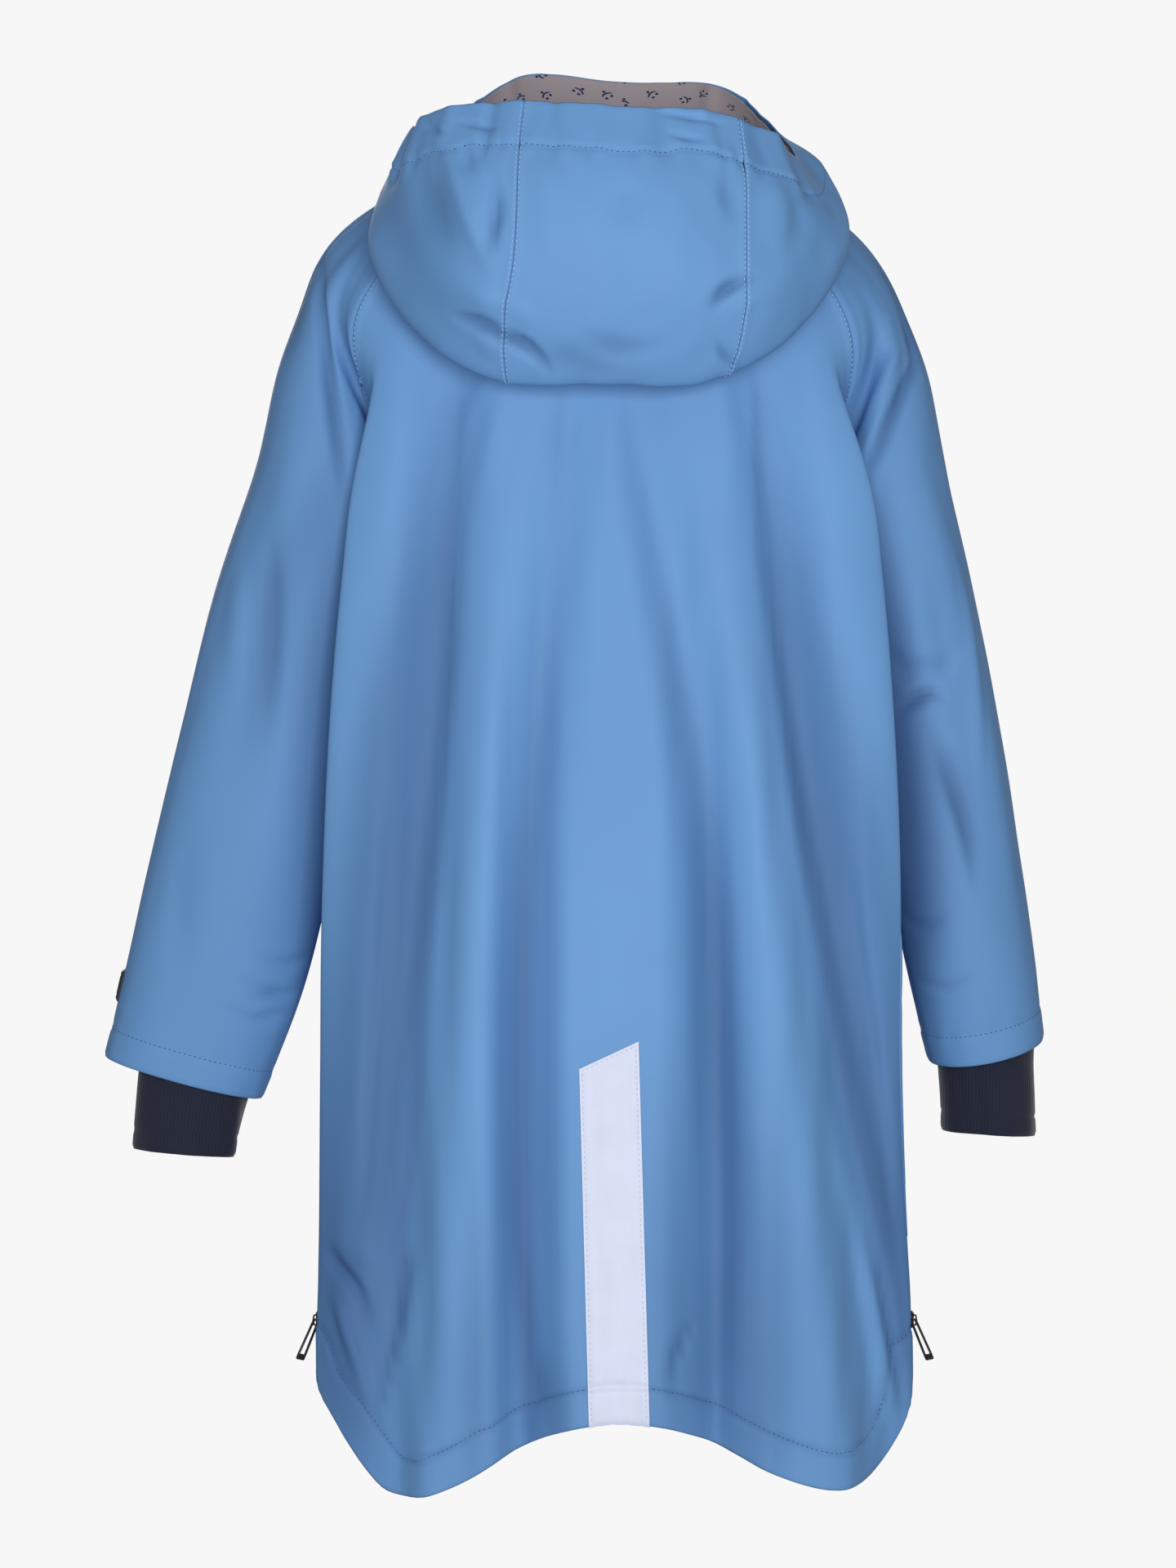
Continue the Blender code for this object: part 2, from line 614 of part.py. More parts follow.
def build_cuffs(collection, materials):
    """Knitted cuffs, sewn in near the sleeves' ends and hanging out below the hems."""
    columns = CUFF_TURNS
    for side in ("left", "right"):
        turns = spaced(columns)[:-1]
        sewn = inward([sleeve_ring(side, CUFF_SEWN_ROW, turn) for turn in turns], CUFF_INSET)
        rings = [sewn]
        for x, y, z, half_width, half_depth, tilt in CUFFS[side]:
            ring = []
            for turn in turns:
                angle = math.pi * (1 - 2 * turn)
                reach = math.cos(angle)
                ring.append(Vector((x + half_width * reach, y + half_depth * math.sin(angle),
                                    z - tilt * reach / 2)))
            rings.append(ring)
        rows = []
        for t in (0.0, 0.5, 1.0, 1.5, 2.0, 3.0):
            ring = [mirrored(spline((0, 1, 2, 3), [r[j] for r in rings], t), side)
                    for j in range(columns)]
            rows.append(ring + [ring[0]])
        if side == "right":
            rows = [row[::-1] for row in rows]
        cloth("cuff_" + side, rows, collection, materials["cuff_navy"], CUFF_WALL, closed_from=0)


def build_tabs(collection, materials):
    """Fastening tab round the outside of each sleeve, just above its hem."""
    for side in ("left", "right"):
        rows = []
        for row in spaced(3, *TAB_ROWS):
            centre = (sleeve_ring(side, row, 0) + sleeve_ring(side, row, 0.5)) / 2
            line = []
            for step, turn in zip(spaced(8), spaced(8, *TAB_TURNS[side])):
                point = sleeve_ring(side, row, turn)
                out = (point - centre).normalized()
                stand = 3 * LAY_GAP + TAB_PUFF * math.sin(math.pi * step)
                line.append(mirrored(point + out * stand, side))
            rows.append(line if side == "left" else line[::-1])
        tab = add_object("sleeve_tab_" + side, grid_mesh("sleeve_tab_" + side, rows),
                         collection, materials["tab_navy"])
        add_wall(tab, TAB_WALL, offset=1.0)


def along_row(row, x):
    """Point of a panel's row of points at a given x."""
    for a, b in zip(row, row[1:]):
        if a.x <= x <= b.x:
            return a.lerp(b, (x - a.x) / (b.x - a.x))
    return row[-1].copy()


def build_strip(collection, materials, rows):
    """Reflective strip up the middle of the back, lying on the panel's own points."""
    middle = len(rows[0]) // 2
    lines = []
    for row in rows:
        share = (row[middle].z - STRIP_TOP_Z[0]) / (rows[-1][middle].z - STRIP_TOP_Z[0])
        left = STRIP_X_TOP[0] + (STRIP_X_HEM[0] - STRIP_X_TOP[0]) * share
        right = STRIP_X_TOP[1] + (STRIP_X_HEM[1] - STRIP_X_TOP[1]) * share
        inner = [row[middle + k].copy() for k in (-1, 0, 1)]
        lines.append([along_row(row, right)] + inner + [along_row(row, left)])
    below = [i for i, line in enumerate(lines) if line[0].z < min(STRIP_TOP_Z)]
    first = below[0]
    top = []
    for upper, lower in zip(lines[first - 1], lines[first]):
        share = (upper.x - STRIP_X_TOP[1]) / (STRIP_X_TOP[0] - STRIP_X_TOP[1])
        z = STRIP_TOP_Z[1] + (STRIP_TOP_Z[0] - STRIP_TOP_Z[1]) * share
        top.append(upper.lerp(lower, (z - upper.z) / (lower.z - upper.z)))
    strip_rows = [[p + Vector((0, 2 * LAY_GAP, 0)) for p in line]
                  for line in [top] + lines[first:]]
    strip = add_object("reflective_strip", grid_mesh("reflective_strip", strip_rows),
                       collection, materials["strip_silver"])
    add_wall(strip, STRIP_WALL, offset=1.0)


def build_zips(collection, materials, panels):
    """Closed zip on each side seam, from ZIP_TOP_Z down to the vent."""
    ends = {}
    for side, out in (("left", 1), ("right", -1)):
        lines = []
        for back, front in zip(panels["back"], panels["front"]):
            b0, b1 = (back[-1], back[-2]) if side == "left" else (back[0], back[1])
            f0, f1 = (front[0], front[1]) if side == "left" else (front[-1], front[-2])
            if b0.z > ZIP_TOP_Z or (b0 - f0).length > 2 * ZIP_HALF_WIDTH:
                continue
            seam = (b0 + f0) / 2
            line = [b0 + (b1 - b0).normalized() * ZIP_HALF_WIDTH, seam,
                    f0 + (f1 - f0).normalized() * ZIP_HALF_WIDTH]
            lines.append([p + Vector((out * 2 * LAY_GAP, 0, 0)) for p in line][::out])
            ends[side] = seam
        name = "side_zip_" + side
        zip_tape = add_object(name, grid_mesh(name, lines), collection, materials["zip_tape"])
        add_wall(zip_tape, ZIP_WALL, offset=1.0)
    return ends


def curve_mesh(name, points, radius, cyclic):
    """Mesh of a round wire along points, its ends closed."""
    curve = bpy.data.curves.new(name, "CURVE")
    curve.dimensions = "3D"
    curve.bevel_depth = radius
    curve.bevel_resolution = 2
    curve.use_fill_caps = True
    line = curve.splines.new("POLY")
    line.points.add(len(points) - 1)
    for target, point in zip(line.points, points):
        target.co = (*point, 1.0)
    line.use_cyclic_u = cyclic
    wire = bpy.data.objects.new(name, curve)
    bpy.context.scene.collection.objects.link(wire)
    bpy.context.view_layer.update()
    evaluated = wire.evaluated_get(bpy.context.evaluated_depsgraph_get())
    mesh = bpy.data.meshes.new_from_object(evaluated)
    bpy.data.objects.remove(wire, do_unlink=True)
    bm = bmesh.new()
    bm.from_mesh(mesh)
    bmesh.ops.remove_doubles(bm, verts=bm.verts, dist=0.00001)
    bm.to_mesh(mesh)
    bm.free()
    return mesh


def box_mesh(name, size, centre):
    """Box with slightly eased edges."""
    bm = bmesh.new()
    bmesh.ops.create_cube(bm, size=1.0)
    bmesh.ops.scale(bm, vec=size, verts=bm.verts)
    bmesh.ops.translate(bm, vec=centre, verts=bm.verts)
    bmesh.ops.bevel(bm, geom=bm.edges[:], offset=min(size) * 0.25, segments=2, affect="EDGES")
    mesh = bpy.data.meshes.new(name)
    bm.to_mesh(mesh)
    bm.free()
    return mesh


def joined(name, mesh, extra, collection, cutters, material):
    """Object of mesh with the extra mesh joined to it by a Boolean."""
    thing = add_object(name, mesh, collection, material)
    helper = bpy.data.objects.new(name + "_part", extra)
    cutters.objects.link(helper)
    helper.hide_render = True
    helper.display_type = "WIRE"
    union = thing.modifiers.new("union", "BOOLEAN")
    union.operation = "UNION"
    union.object = helper
    helper.parent = thing
    return thing


def build_fasteners(collection, cutters, materials, seam_ends):
    """Slider at the foot of each zip, with a hanging pull through its bail."""
    thick, wide, long = SLIDER
    face_x = 2 * LAY_GAP + ZIP_WALL + LAY_GAP
    clearance = face_x * (1 - math.cos(SLIDER_TURN)) + wide / 2 * math.sin(SLIDER_TURN)
    bail_foot = face_x + thick - BAIL_WIRE
    bail_top = bail_foot + BAIL_RISE
    arch = [Vector((bail_foot, 0, BAIL_HALF_LENGTH)), Vector((bail_top, 0, BAIL_SHOULDER)),
            Vector((bail_top + BAIL_CROWN, 0, 0)), Vector((bail_top, 0, -BAIL_SHOULDER)),
            Vector((bail_foot, 0, -BAIL_HALF_LENGTH))]
    hinge_x = bail_top - BAIL_WIRE - PULL_WIRE - PULL_PLAY
    top = PULL_TOP_WIDTH / 2 - PULL_CORNER
    foot = PULL_FOOT_WIDTH / 2 - PULL_CORNER
    low = PULL_CORNER - PULL_LENGTH
    loop = []
    for y, z, start in ((top, -PULL_CORNER, 0), (-top, -PULL_CORNER, 90),
                        (-foot, low, 180), (foot, low, 270)):
        for degrees in (start + 5, start + 45, start + 85):
            turn = math.radians(degrees)
            loop.append(Vector((0, y + PULL_CORNER * math.cos(turn),
                                z + PULL_CORNER * math.sin(turn))))
    for side, out in (("left", 1), ("right", -1)):
        seam = seam_ends[side]
        facing = SLIDER_TURN if side == "left" else math.pi - SLIDER_TURN
        body = box_mesh("slider", (thick, wide, long), (face_x + thick / 2, 0, 0))
        slider = joined("zip_slider_" + side, body, curve_mesh("bail", arch, BAIL_WIRE, False),
                        collection, cutters, materials["zip_metal"])
        slider.location = (seam.x + out * clearance, seam.y, seam.z + SLIDER_RISE)
        slider.rotation_euler = (0, 0, facing)
        bar = box_mesh("bar", PULL_BAR, (0, 0, -PULL_LENGTH))
        pull = joined("zip_pull_" + side, curve_mesh("loop", loop, PULL_WIRE, True), bar,
                      collection, cutters, materials["zip_metal"])
        reach = Vector((math.cos(facing), math.sin(facing), 0)) * hinge_x
        pull.location = slider.location + reach
        pull.rotation_euler = (0, -PULL_TILT, facing)


def main():
    """Build the whole garment."""
    clear_scene()
    garment = bpy.data.collections.new("hooded_rain_poncho")
    bpy.context.scene.collection.children.link(garment)
    cutters = bpy.data.collections.new("joined_shapes")
    bpy.context.scene.collection.children.link(cutters)
    materials = {name: finish(name) for name in FINISHES}
    panels = build_panels(garment, materials)
    build_sleeves(garment, materials)
    build_cuffs(garment, materials)
    build_tabs(garment, materials)
    build_hood(garment, materials)
    build_lining(garment, materials)
    build_strip(garment, materials, panels["back"])
    seam_ends = build_zips(garment, materials, panels)
    build_fasteners(garment, cutters, materials, seam_ends)


main()
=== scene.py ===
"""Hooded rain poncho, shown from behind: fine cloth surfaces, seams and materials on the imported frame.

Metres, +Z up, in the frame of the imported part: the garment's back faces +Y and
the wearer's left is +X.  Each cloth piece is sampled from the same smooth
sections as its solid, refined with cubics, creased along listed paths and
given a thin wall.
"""

import math

import bmesh
import bpy
import numpy as np
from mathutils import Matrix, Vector


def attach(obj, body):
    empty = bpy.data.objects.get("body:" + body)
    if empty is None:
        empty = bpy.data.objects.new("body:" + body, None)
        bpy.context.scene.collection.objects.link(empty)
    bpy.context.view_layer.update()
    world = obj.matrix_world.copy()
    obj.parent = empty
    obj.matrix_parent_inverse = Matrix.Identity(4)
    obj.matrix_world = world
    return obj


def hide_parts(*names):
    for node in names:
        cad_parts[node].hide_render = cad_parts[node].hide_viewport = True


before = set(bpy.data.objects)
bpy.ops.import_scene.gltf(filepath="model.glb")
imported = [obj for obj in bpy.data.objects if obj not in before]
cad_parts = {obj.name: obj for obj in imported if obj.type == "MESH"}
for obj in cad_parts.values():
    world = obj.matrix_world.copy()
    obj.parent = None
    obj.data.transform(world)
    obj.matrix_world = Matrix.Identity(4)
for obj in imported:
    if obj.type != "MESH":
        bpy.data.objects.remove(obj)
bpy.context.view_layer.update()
GARMENT = "garment"


# ---------------------------------------------------------------- sizes
SIDES = ("left", "right")
NECK_SIDE, NECK_SIDE_Z = 0.082, 0.033       # neckline: half width, and height there
NECK_BACK, NECK_BACK_Z = 0.076, 0.028       # its depth behind the origin
NECK_FRONT, NECK_FRONT_Z = 0.088, -0.012    # its depth in front of the origin
UNDERARM_Z = -0.240                 # height of the underarm points
UNDERARM_PINCH = 0.45               # how much the sleeve narrows towards the underarm point
SHOULDER_LIFT = 0.32                # how steeply the cloth leaves the neckline over the shoulder
VENT_TOP_Z = -0.812                 # height where the side seams end and the vents begin
SWAY = -0.002                       # how far the foot of the body swings to the right
SWAY_TOP_Z = -0.600
FOLD_MID_Z, FOLD_FOOT_Z = -0.400, -0.860    # heights at which the tables place the folds
HOOD_BASE_RISE = 0.0012             # the hood's first ring stands this far above the neckline
HOOD_SHIFT = 0.008                  # the hood sits this far left behind and right in front
CUFF_SEWN_ROW = 4.20                # sleeve ring where the cuffs are sewn in
CUFF_INSET = 0.0032                 # the cuffs' gap to the sleeves there
TAB_ROWS = (4.22, 4.50)             # sleeve rings between which the tabs lie
TAB_TURNS = {"left": (0.475, 0.76), "right": (0.56, 0.84)}
TAB_STAND = 0.0022                  # how far the ends of a tab stand off the sleeve
TAB_PUFF = 0.0022                   # how much further its middle does
ZIP_TOP_Z = -0.520                  # top of the side zips
STRIP_TOP_Z = (-0.6195, -0.6003)    # strip's slanted top: left corner, right corner
STRIP_X_TOP = (0.0235, -0.0185)     # strip's edges at its top: left, right
STRIP_X_HEM = (0.0168, -0.0255)
STRIP_FOOT_Z = -0.866
STRIP_STAND = 0.0012                # how far the strip stands off the back panel
LINING_INSET = 0.0036               # how far the lining lies inside the hood
LINING_TIGHT_INSET = 0.0022         # and where the hanging bag is a narrow fold
HEM_DEPTH = 0.026                   # folded hem of the body
SLEEVE_HEM = 0.022
CASING = 0.036                      # drawcord casing at the hood's rim
HEM_LINE = 0.0022                   # width of the dip along a hem's stitches, and of the painted shade in it
SEAM_STITCH, HOOD_STITCH, STRIP_STITCH = 0.0026, 0.0015, 0.0022     # stitches' distance from edges
STITCH, STITCH_GAP, THREAD = 0.0026, 0.0012, 0.00038    # a stitch's length, gap and thickness
WALL = 0.0010                       # thickness of the coated cloth
TAPE_WALL, CUFF_WALL, TAB_WALL, LINING_WALL = 0.0009, 0.0018, 0.0016, 0.0007

# ---------------------------------------------------------------- tables of sections
# Plan sections of the body, one row per height.  edge is the outermost fold
# beside the arm, seam the side seam, mid the centre of the panel.
BODY_COLUMNS = ("z", "seam_x", "seam_y", "back_edge_x", "back_edge_y", "back_mid_y",
                "front_edge_x", "front_edge_y", "front_mid_y")
BODY = (
    (-0.240, 0.146, 0.002, 0.190, 0.074, 0.103, 0.182, -0.073, -0.117),
    (-0.330, 0.150, 0.002, 0.198, 0.076, 0.112, 0.188, -0.074, -0.124),
    (-0.430, 0.158, 0.003, 0.205, 0.078, 0.121, 0.195, -0.075, -0.131),
    (-0.530, 0.174, 0.006, 0.209, 0.080, 0.129, 0.201, -0.075, -0.137),
    (-0.640, 0.195, 0.010, 0.210, 0.080, 0.136, 0.205, -0.074, -0.141),
    (-0.740, 0.204, 0.014, 0.210, 0.078, 0.142, 0.206, -0.072, -0.144),
    (-0.830, 0.207, 0.018, 0.209, 0.080, 0.147, 0.206, -0.070, -0.147),
    (-0.940, 0.206, 0.020, 0.204, 0.084, 0.151, 0.205, -0.070, -0.150),
)

# Height of the lower edge, from the centre of the panel (0) round the low
# corner to the top of the side vent (1).
HEM_COLUMNS = ("place", "back_left_z", "back_right_z", "front_z")
HEM = (
    (0.00, -0.8655, -0.8655, -0.852),
    (0.10, -0.8710, -0.8690, -0.855),
    (0.22, -0.8900, -0.8850, -0.864),
    (0.33, -0.9105, -0.9030, -0.876),
    (0.42, -0.9205, -0.9130, -0.886),
    (0.50, -0.9170, -0.9150, -0.890),
    (0.57, -0.8960, -0.9080, -0.888),
    (0.65, -0.8680, -0.8880, -0.878),
    (0.76, -0.8430, -0.8560, -0.855),
    (0.88, -0.8250, -0.8300, -0.832),
    (1.00, VENT_TOP_Z, VENT_TOP_Z, VENT_TOP_Z),
)

# Where the shoulder passes, half way from the neckline to the underarm level.
SHOULDER_COLUMNS = ("q", "neck_angle", "y", "left_x", "left_z", "right_x", "right_z")
SHOULDER = (
    (0.00, 0, 0.092, 0.000, -0.085, 0.000, -0.085),
    (0.40, 20, 0.089, 0.085, -0.088, 0.085, -0.090),
    (0.75, 37, 0.075, 0.152, -0.088, 0.142, -0.092),
    (1.00, 50, 0.060, 0.184, -0.086, 0.170, -0.094),
    (1.22, 66, 0.038, 0.204, -0.062, 0.194, -0.074),
    (1.50, 90, 0.000, 0.215, -0.036, 0.207, -0.052),
    (1.78, 114, -0.042, 0.203, -0.066, 0.195, -0.076),
    (2.00, 130, -0.066, 0.185, -0.092, 0.174, -0.098),
    (2.28, 145, -0.090, 0.140, -0.094, 0.134, -0.096),
    (2.62, 163, -0.106, 0.075, -0.098, 0.075, -0.098),
    (3.00, 180, -0.110, 0.000, -0.100, 0.000, -0.100),
)

# Rings of each sleeve below the underarm.  The first ring's inner point is the
# underarm point of the body.
SLEEVE_COLUMNS = ("outer_x", "outer_z", "inner_x", "inner_z", "mid_y", "depth", "back_drop")
SLEEVES = {
    "left": (
        (0.2640, -0.205, 0.0000, 0.000, 0.002, 0.057, 0.000),
        (0.2920, -0.288, 0.1670, -0.318, -0.003, 0.053, 0.001),
        (0.3135, -0.376, 0.1870, -0.410, -0.008, 0.050, 0.002),
        (0.3345, -0.467, 0.2080, -0.503, -0.012, 0.047, 0.003),
        (0.3520, -0.540, 0.2270, -0.575, -0.015, 0.043, 0.003),
        (0.3700, -0.619, 0.2560, -0.650, -0.018, 0.038, 0.003),
    ),
    "right": (
        (0.2450, -0.205, 0.0000, 0.000, 0.002, 0.057, 0.000),
        (0.2660, -0.288, 0.1640, -0.312, -0.004, 0.055, 0.002),
        (0.2835, -0.376, 0.1830, -0.400, -0.010, 0.054, 0.003),
        (0.2985, -0.467, 0.2020, -0.490, -0.015, 0.053, 0.005),
        (0.3090, -0.540, 0.2170, -0.560, -0.019, 0.051, 0.007),
        (0.3160, -0.605, 0.2320, -0.622, -0.022, 0.048, 0.009),
    ),
}

# Rings of the knitted cuffs below the place where they are sewn in:
# x, y, z, half width, half depth, tilt.
CUFFS = {
    "left": (
        (0.3030, -0.017, -0.6150, 0.0440, 0.0335, -0.026),
        (0.3065, -0.018, -0.6450, 0.0400, 0.0320, -0.016),
        (0.3120, -0.020, -0.6900, 0.0370, 0.0310, -0.006),
    ),
    "right": (
        (0.2730, -0.020, -0.5950, 0.0360, 0.0390, -0.006),
        (0.2740, -0.022, -0.6250, 0.0350, 0.0370, -0.002),
        (0.2760, -0.025, -0.6760, 0.0350, 0.0355, 0.004),
    ),
}

# The hood, thrown back: reach from the neck's centre and height of five rings,
# for stations at an angle from the centre back.
HOOD_COLUMNS = ("angle", "under_r", "under_z", "fold_r", "fold_z", "belly_r", "belly_z",
                "upper_r", "upper_z", "rim_r", "rim_z", "right_drop")
HOOD = (
    (0, 0.114, -0.052, 0.140, -0.142, 0.176, -0.085, 0.176, -0.008, 0.152, 0.052, 0.003),
    (26, 0.119, -0.046, 0.150, -0.140, 0.188, -0.084, 0.185, -0.009, 0.160, 0.055, 0.006),
    (44, 0.132, -0.022, 0.168, -0.112, 0.196, -0.070, 0.186, -0.005, 0.168, 0.053, 0.015),
    (60, 0.138, 0.004, 0.178, -0.056, 0.194, -0.036, 0.175, 0.007, 0.156, 0.047, 0.022),
    (80, 0.117, 0.038, 0.143, 0.024, 0.154, 0.028, 0.142, 0.044, 0.130, 0.056, 0.011),
    (105, 0.098, 0.044, 0.112, 0.043, 0.119, 0.047, 0.117, 0.060, 0.112, 0.076, 0.004),
    (140, 0.095, 0.026, 0.101, 0.040, 0.105, 0.058, 0.108, 0.083, 0.109, 0.109, 0.007),
    (180, 0.094, 0.006, 0.100, 0.026, 0.105, 0.052, 0.109, 0.082, 0.110, 0.108, 0.000),
)
HOOD_SEAM_COLUMNS = ("up", "left", "right")
HOOD_SEAMS = (
    (0.00, 24.0, 28.0),
    (0.45, 25.0, 32.0),
    (0.70, 18.5, 30.5),
    (1.00, 20.0, 35.0),
)
HOOD_RINGS = (0.0, 0.24, 0.45, 0.62, 0.82, 1.0)   # where its rings lie, neckline to rim

# Folds of the two big panels: a trough (-) or ridge (+) runs from top to foot.
# Columns: top z, x at the top, middle and foot, half widths towards the centre
# and towards the side, depths at top and foot.
BACK_FOLDS = (
    (-0.075, 0.105, 0.118, 0.150, 0.026, 0.052, -0.013, -0.020),
    (-0.095, 0.018, 0.056, 0.062, 0.032, 0.028, -0.005, -0.024),
    (-0.095, -0.008, -0.064, -0.072, 0.034, 0.030, -0.005, -0.023),
    (-0.075, -0.098, -0.127, -0.186, 0.030, 0.050, -0.013, -0.021),
)
FRONT_FOLDS = (
    (-0.120, 0.090, 0.112, 0.140, 0.034, 0.045, -0.008, -0.020),
    (-0.200, 0.012, 0.028, 0.036, 0.036, 0.036, -0.004, -0.018),
    (-0.140, -0.080, -0.098, -0.122, 0.034, 0.040, -0.007, -0.020),
)

# ---------------------------------------------------------------- helpers
def spline(knots, values, t):
    """Smooth value at t through values at rising knots; numbers or vectors."""
    last = len(knots) - 1
    i = 0
    while i < last - 1 and t > knots[i + 1]:
        i += 1

    def slope(k):
        if k == 0:
            return (values[1] - values[0]) / (knots[1] - knots[0])
        if k == last:
            return (values[last] - values[last - 1]) / (knots[last] - knots[last - 1])
        return (values[k + 1] - values[k - 1]) / (knots[k + 1] - knots[k - 1])

    span = knots[i + 1] - knots[i]
    s = (t - knots[i]) / span
    return hermite(values[i], values[i + 1], slope(i) * span, slope(i + 1) * span, s)


def hermite(start, end, start_slope, end_slope, s):
    """Cubic from start to end with the given end slopes."""
    s2 = s * s
    s3 = s2 * s
    return (start * (2 * s3 - 3 * s2 + 1) + start_slope * (s3 - 2 * s2 + s)
            + end * (3 * s2 - 2 * s3) + end_slope * (s3 - s2))


def column(table, names, name):
    """One named column of a table."""
    index = names.index(name)
    return [row[index] for row in table]


def look_up(table, names, key, t, name):
    """Value of column name where column key is t; key may rise or fall."""
    knots = column(table, names, key)
    values = column(table, names, name)
    if knots[0] > knots[-1]:
        knots = [-k for k in knots]
        t = -t
    return spline(knots, values, min(max(t, knots[0]), knots[-1]))


def smooth_step(low, high, t):
    """0 below low, 1 above high, smooth between."""
    s = min(max((t - low) / (high - low), 0.0), 1.0)
    return s * s * (3 - 2 * s)


# ---------------------------------------------------------------- garment form
def neckline(angle):
    """Point of the neckline; angle in degrees from the centre back."""
    a = math.radians(angle)
    across, along = math.sin(a), math.cos(a)
    depth = NECK_BACK if along > 0 else NECK_FRONT
    end_z = NECK_BACK_Z if along > 0 else NECK_FRONT_Z
    z = end_z + (NECK_SIDE_Z - end_z) * across * across
    return Vector((NECK_SIDE * across, depth * along, z))


def section(face, z, w):
    """Body section at height z on the left; w is 0 at the panel's centre, 1 at the seam."""
    def at(name):
        return look_up(BODY, BODY_COLUMNS, "z", z, name)

    edge_x, edge_y, mid_y = at(face + "_edge_x"), at(face + "_edge_y"), at(face + "_mid_y")
    seam_x, seam_y = at("seam_x"), at("seam_y")
    fall = mid_y - edge_y
    points = (
        Vector((0.0, mid_y)),
        Vector((edge_x * 0.40, mid_y - fall * 0.07)),
        Vector((edge_x * 0.76, mid_y - fall * 0.36)),
        Vector((edge_x, edge_y)),
        Vector((seam_x + (edge_x - seam_x) * 0.28, seam_y + (edge_y - seam_y) * 0.70)),
        Vector((seam_x, seam_y)),
    )
    x, y = spline((0.0, 0.24, 0.47, 0.70, 0.87, 1.0), points, w)
    return Vector((x, y, z))


def sleeve_ring(side, row, turn):
    """Sleeve point on the left half; turn runs 0 to 1 from the underarm, back first."""
    table = SLEEVES[side]
    knots = list(range(len(table)))

    def at(name):
        values = column(table, SLEEVE_COLUMNS, name)
        if name in ("inner_x", "inner_z"):
            values[0] = section("back", UNDERARM_Z, 1.0).x if name == "inner_x" else UNDERARM_Z
        return spline(knots, values, row)

    outer = Vector((at("outer_x"), at("mid_y"), at("outer_z")))
    inner = Vector((at("inner_x"), at("mid_y"), at("inner_z")))
    angle = math.pi * (1 - 2 * turn)
    reach = (outer - inner) / 2 * math.cos(angle)
    pinch = 1 - UNDERARM_PINCH * ((1 - math.cos(angle)) / 2) ** 3 * max(0.0, 1 - row / 2)
    swing = at("depth") * math.sin(angle) * pinch
    drop = at("back_drop") * math.sin(angle)
    return (outer + inner) / 2 + reach + Vector((0, swing, -drop))


def yoke_end(side, q):
    """Where the upper garment ends: body section or sleeve ring, and the way on."""
    if q <= 1:
        here, on = section("back", UNDERARM_Z, q), section("back", UNDERARM_Z - 0.02, q)
    elif q < 2:
        here, on = sleeve_ring(side, 0, q - 1), sleeve_ring(side, 0.15, q - 1)
    else:
        here, on = section("front", UNDERARM_Z, 3 - q), section("front", UNDERARM_Z - 0.02, 3 - q)
    return here, (on - here).normalized()


def yoke(side, q, v):
    """Upper garment on the left half: v is 0 at the neckline, 1 at the underarm level."""
    neck_angle = look_up(SHOULDER, SHOULDER_COLUMNS, "q", q, "neck_angle")
    start = neckline(neck_angle)
    middle = Vector([look_up(SHOULDER, SHOULDER_COLUMNS, "q", q, name)
                     for name in (side + "_x", "y", side + "_z")])
    end, onward = yoke_end(side, q)
    through = (end - start) * 0.5
    if v < 0.5:
        over_shoulder = max(0.0, 1 - abs(q - 1.5) / 0.7)
        lift = Vector((0, 0, SHOULDER_LIFT * over_shoulder * (middle - start).length))
        return hermite(start, middle, (middle - start) + lift, through, v * 2)
    return hermite(middle, end, through, onward * (end - middle).length, v * 2 - 1)


def fold_offset(folds, x, z):
    """How far the folds move a panel out at x, z (x signed, in = negative)."""
    total = 0.0
    for row in folds:
        top_z, top_x, mid_x, foot_x, inner, outer, top_depth, foot_depth = row
        along = (top_z - z) / (top_z - FOLD_FOOT_Z)
        centre = spline((FOLD_FOOT_Z, FOLD_MID_Z, top_z), (foot_x, mid_x, top_x),
                        min(max(z, FOLD_FOOT_Z - 0.05), top_z))
        depth = top_depth + (foot_depth - top_depth) * smooth_step(0.0, 0.75, along)
        away = (x - centre) * (1 if centre > 0 else -1)
        width = outer if away > 0 else inner
        if abs(away) < width:
            shape = math.cos(away / width * math.pi / 2) ** 2
            total += depth * shape * smooth_step(top_z + 0.03, top_z - 0.06, z)
    return total


def hem_height(face, side, w):
    """Height of the lower edge of a panel."""
    name = "front_z" if face == "front" else "back_%s_z" % side
    return look_up(HEM, HEM_COLUMNS, "place", w, name)


def mirrored(point, side):
    """The left-half point, or its mirror image for the right side."""
    return point if side == "left" else Vector((-point.x, point.y, point.z))


def panel_point(face, place, v):
    """Panel point: place -1 right seam to 1 left seam; v 0 neckline, 1 underarm, 2 hem."""
    side = "left" if place >= 0 else "right"
    w = abs(place)
    if v <= 1:
        point = yoke(side, w if face == "back" else 3 - w, v)
    else:
        z = UNDERARM_Z + (hem_height(face, side, w) - UNDERARM_Z) * (v - 1)
        point = section(face, z, w)
    point = mirrored(point, side)
    point.x += SWAY * smooth_step(SWAY_TOP_Z, VENT_TOP_Z, point.z)
    outward = 1 if face == "back" else -1
    folds = BACK_FOLDS if face == "back" else FRONT_FOLDS
    fade = 1 - smooth_step(0.78, 0.98, w)
    point.y += outward * fade * fold_offset(folds, point.x, point.z)
    return point


def sleeve_point(side, turn, v):
    """Sleeve point: turn 0 to 1 from back seam to front seam; v 0 neck, 1 underarm, 2 hem."""
    if v <= 1:
        point = yoke(side, 1 + turn, v)
    else:
        point = sleeve_ring(side, (v - 1) * (len(SLEEVES[side]) - 1), turn)
    return mirrored(point, side)


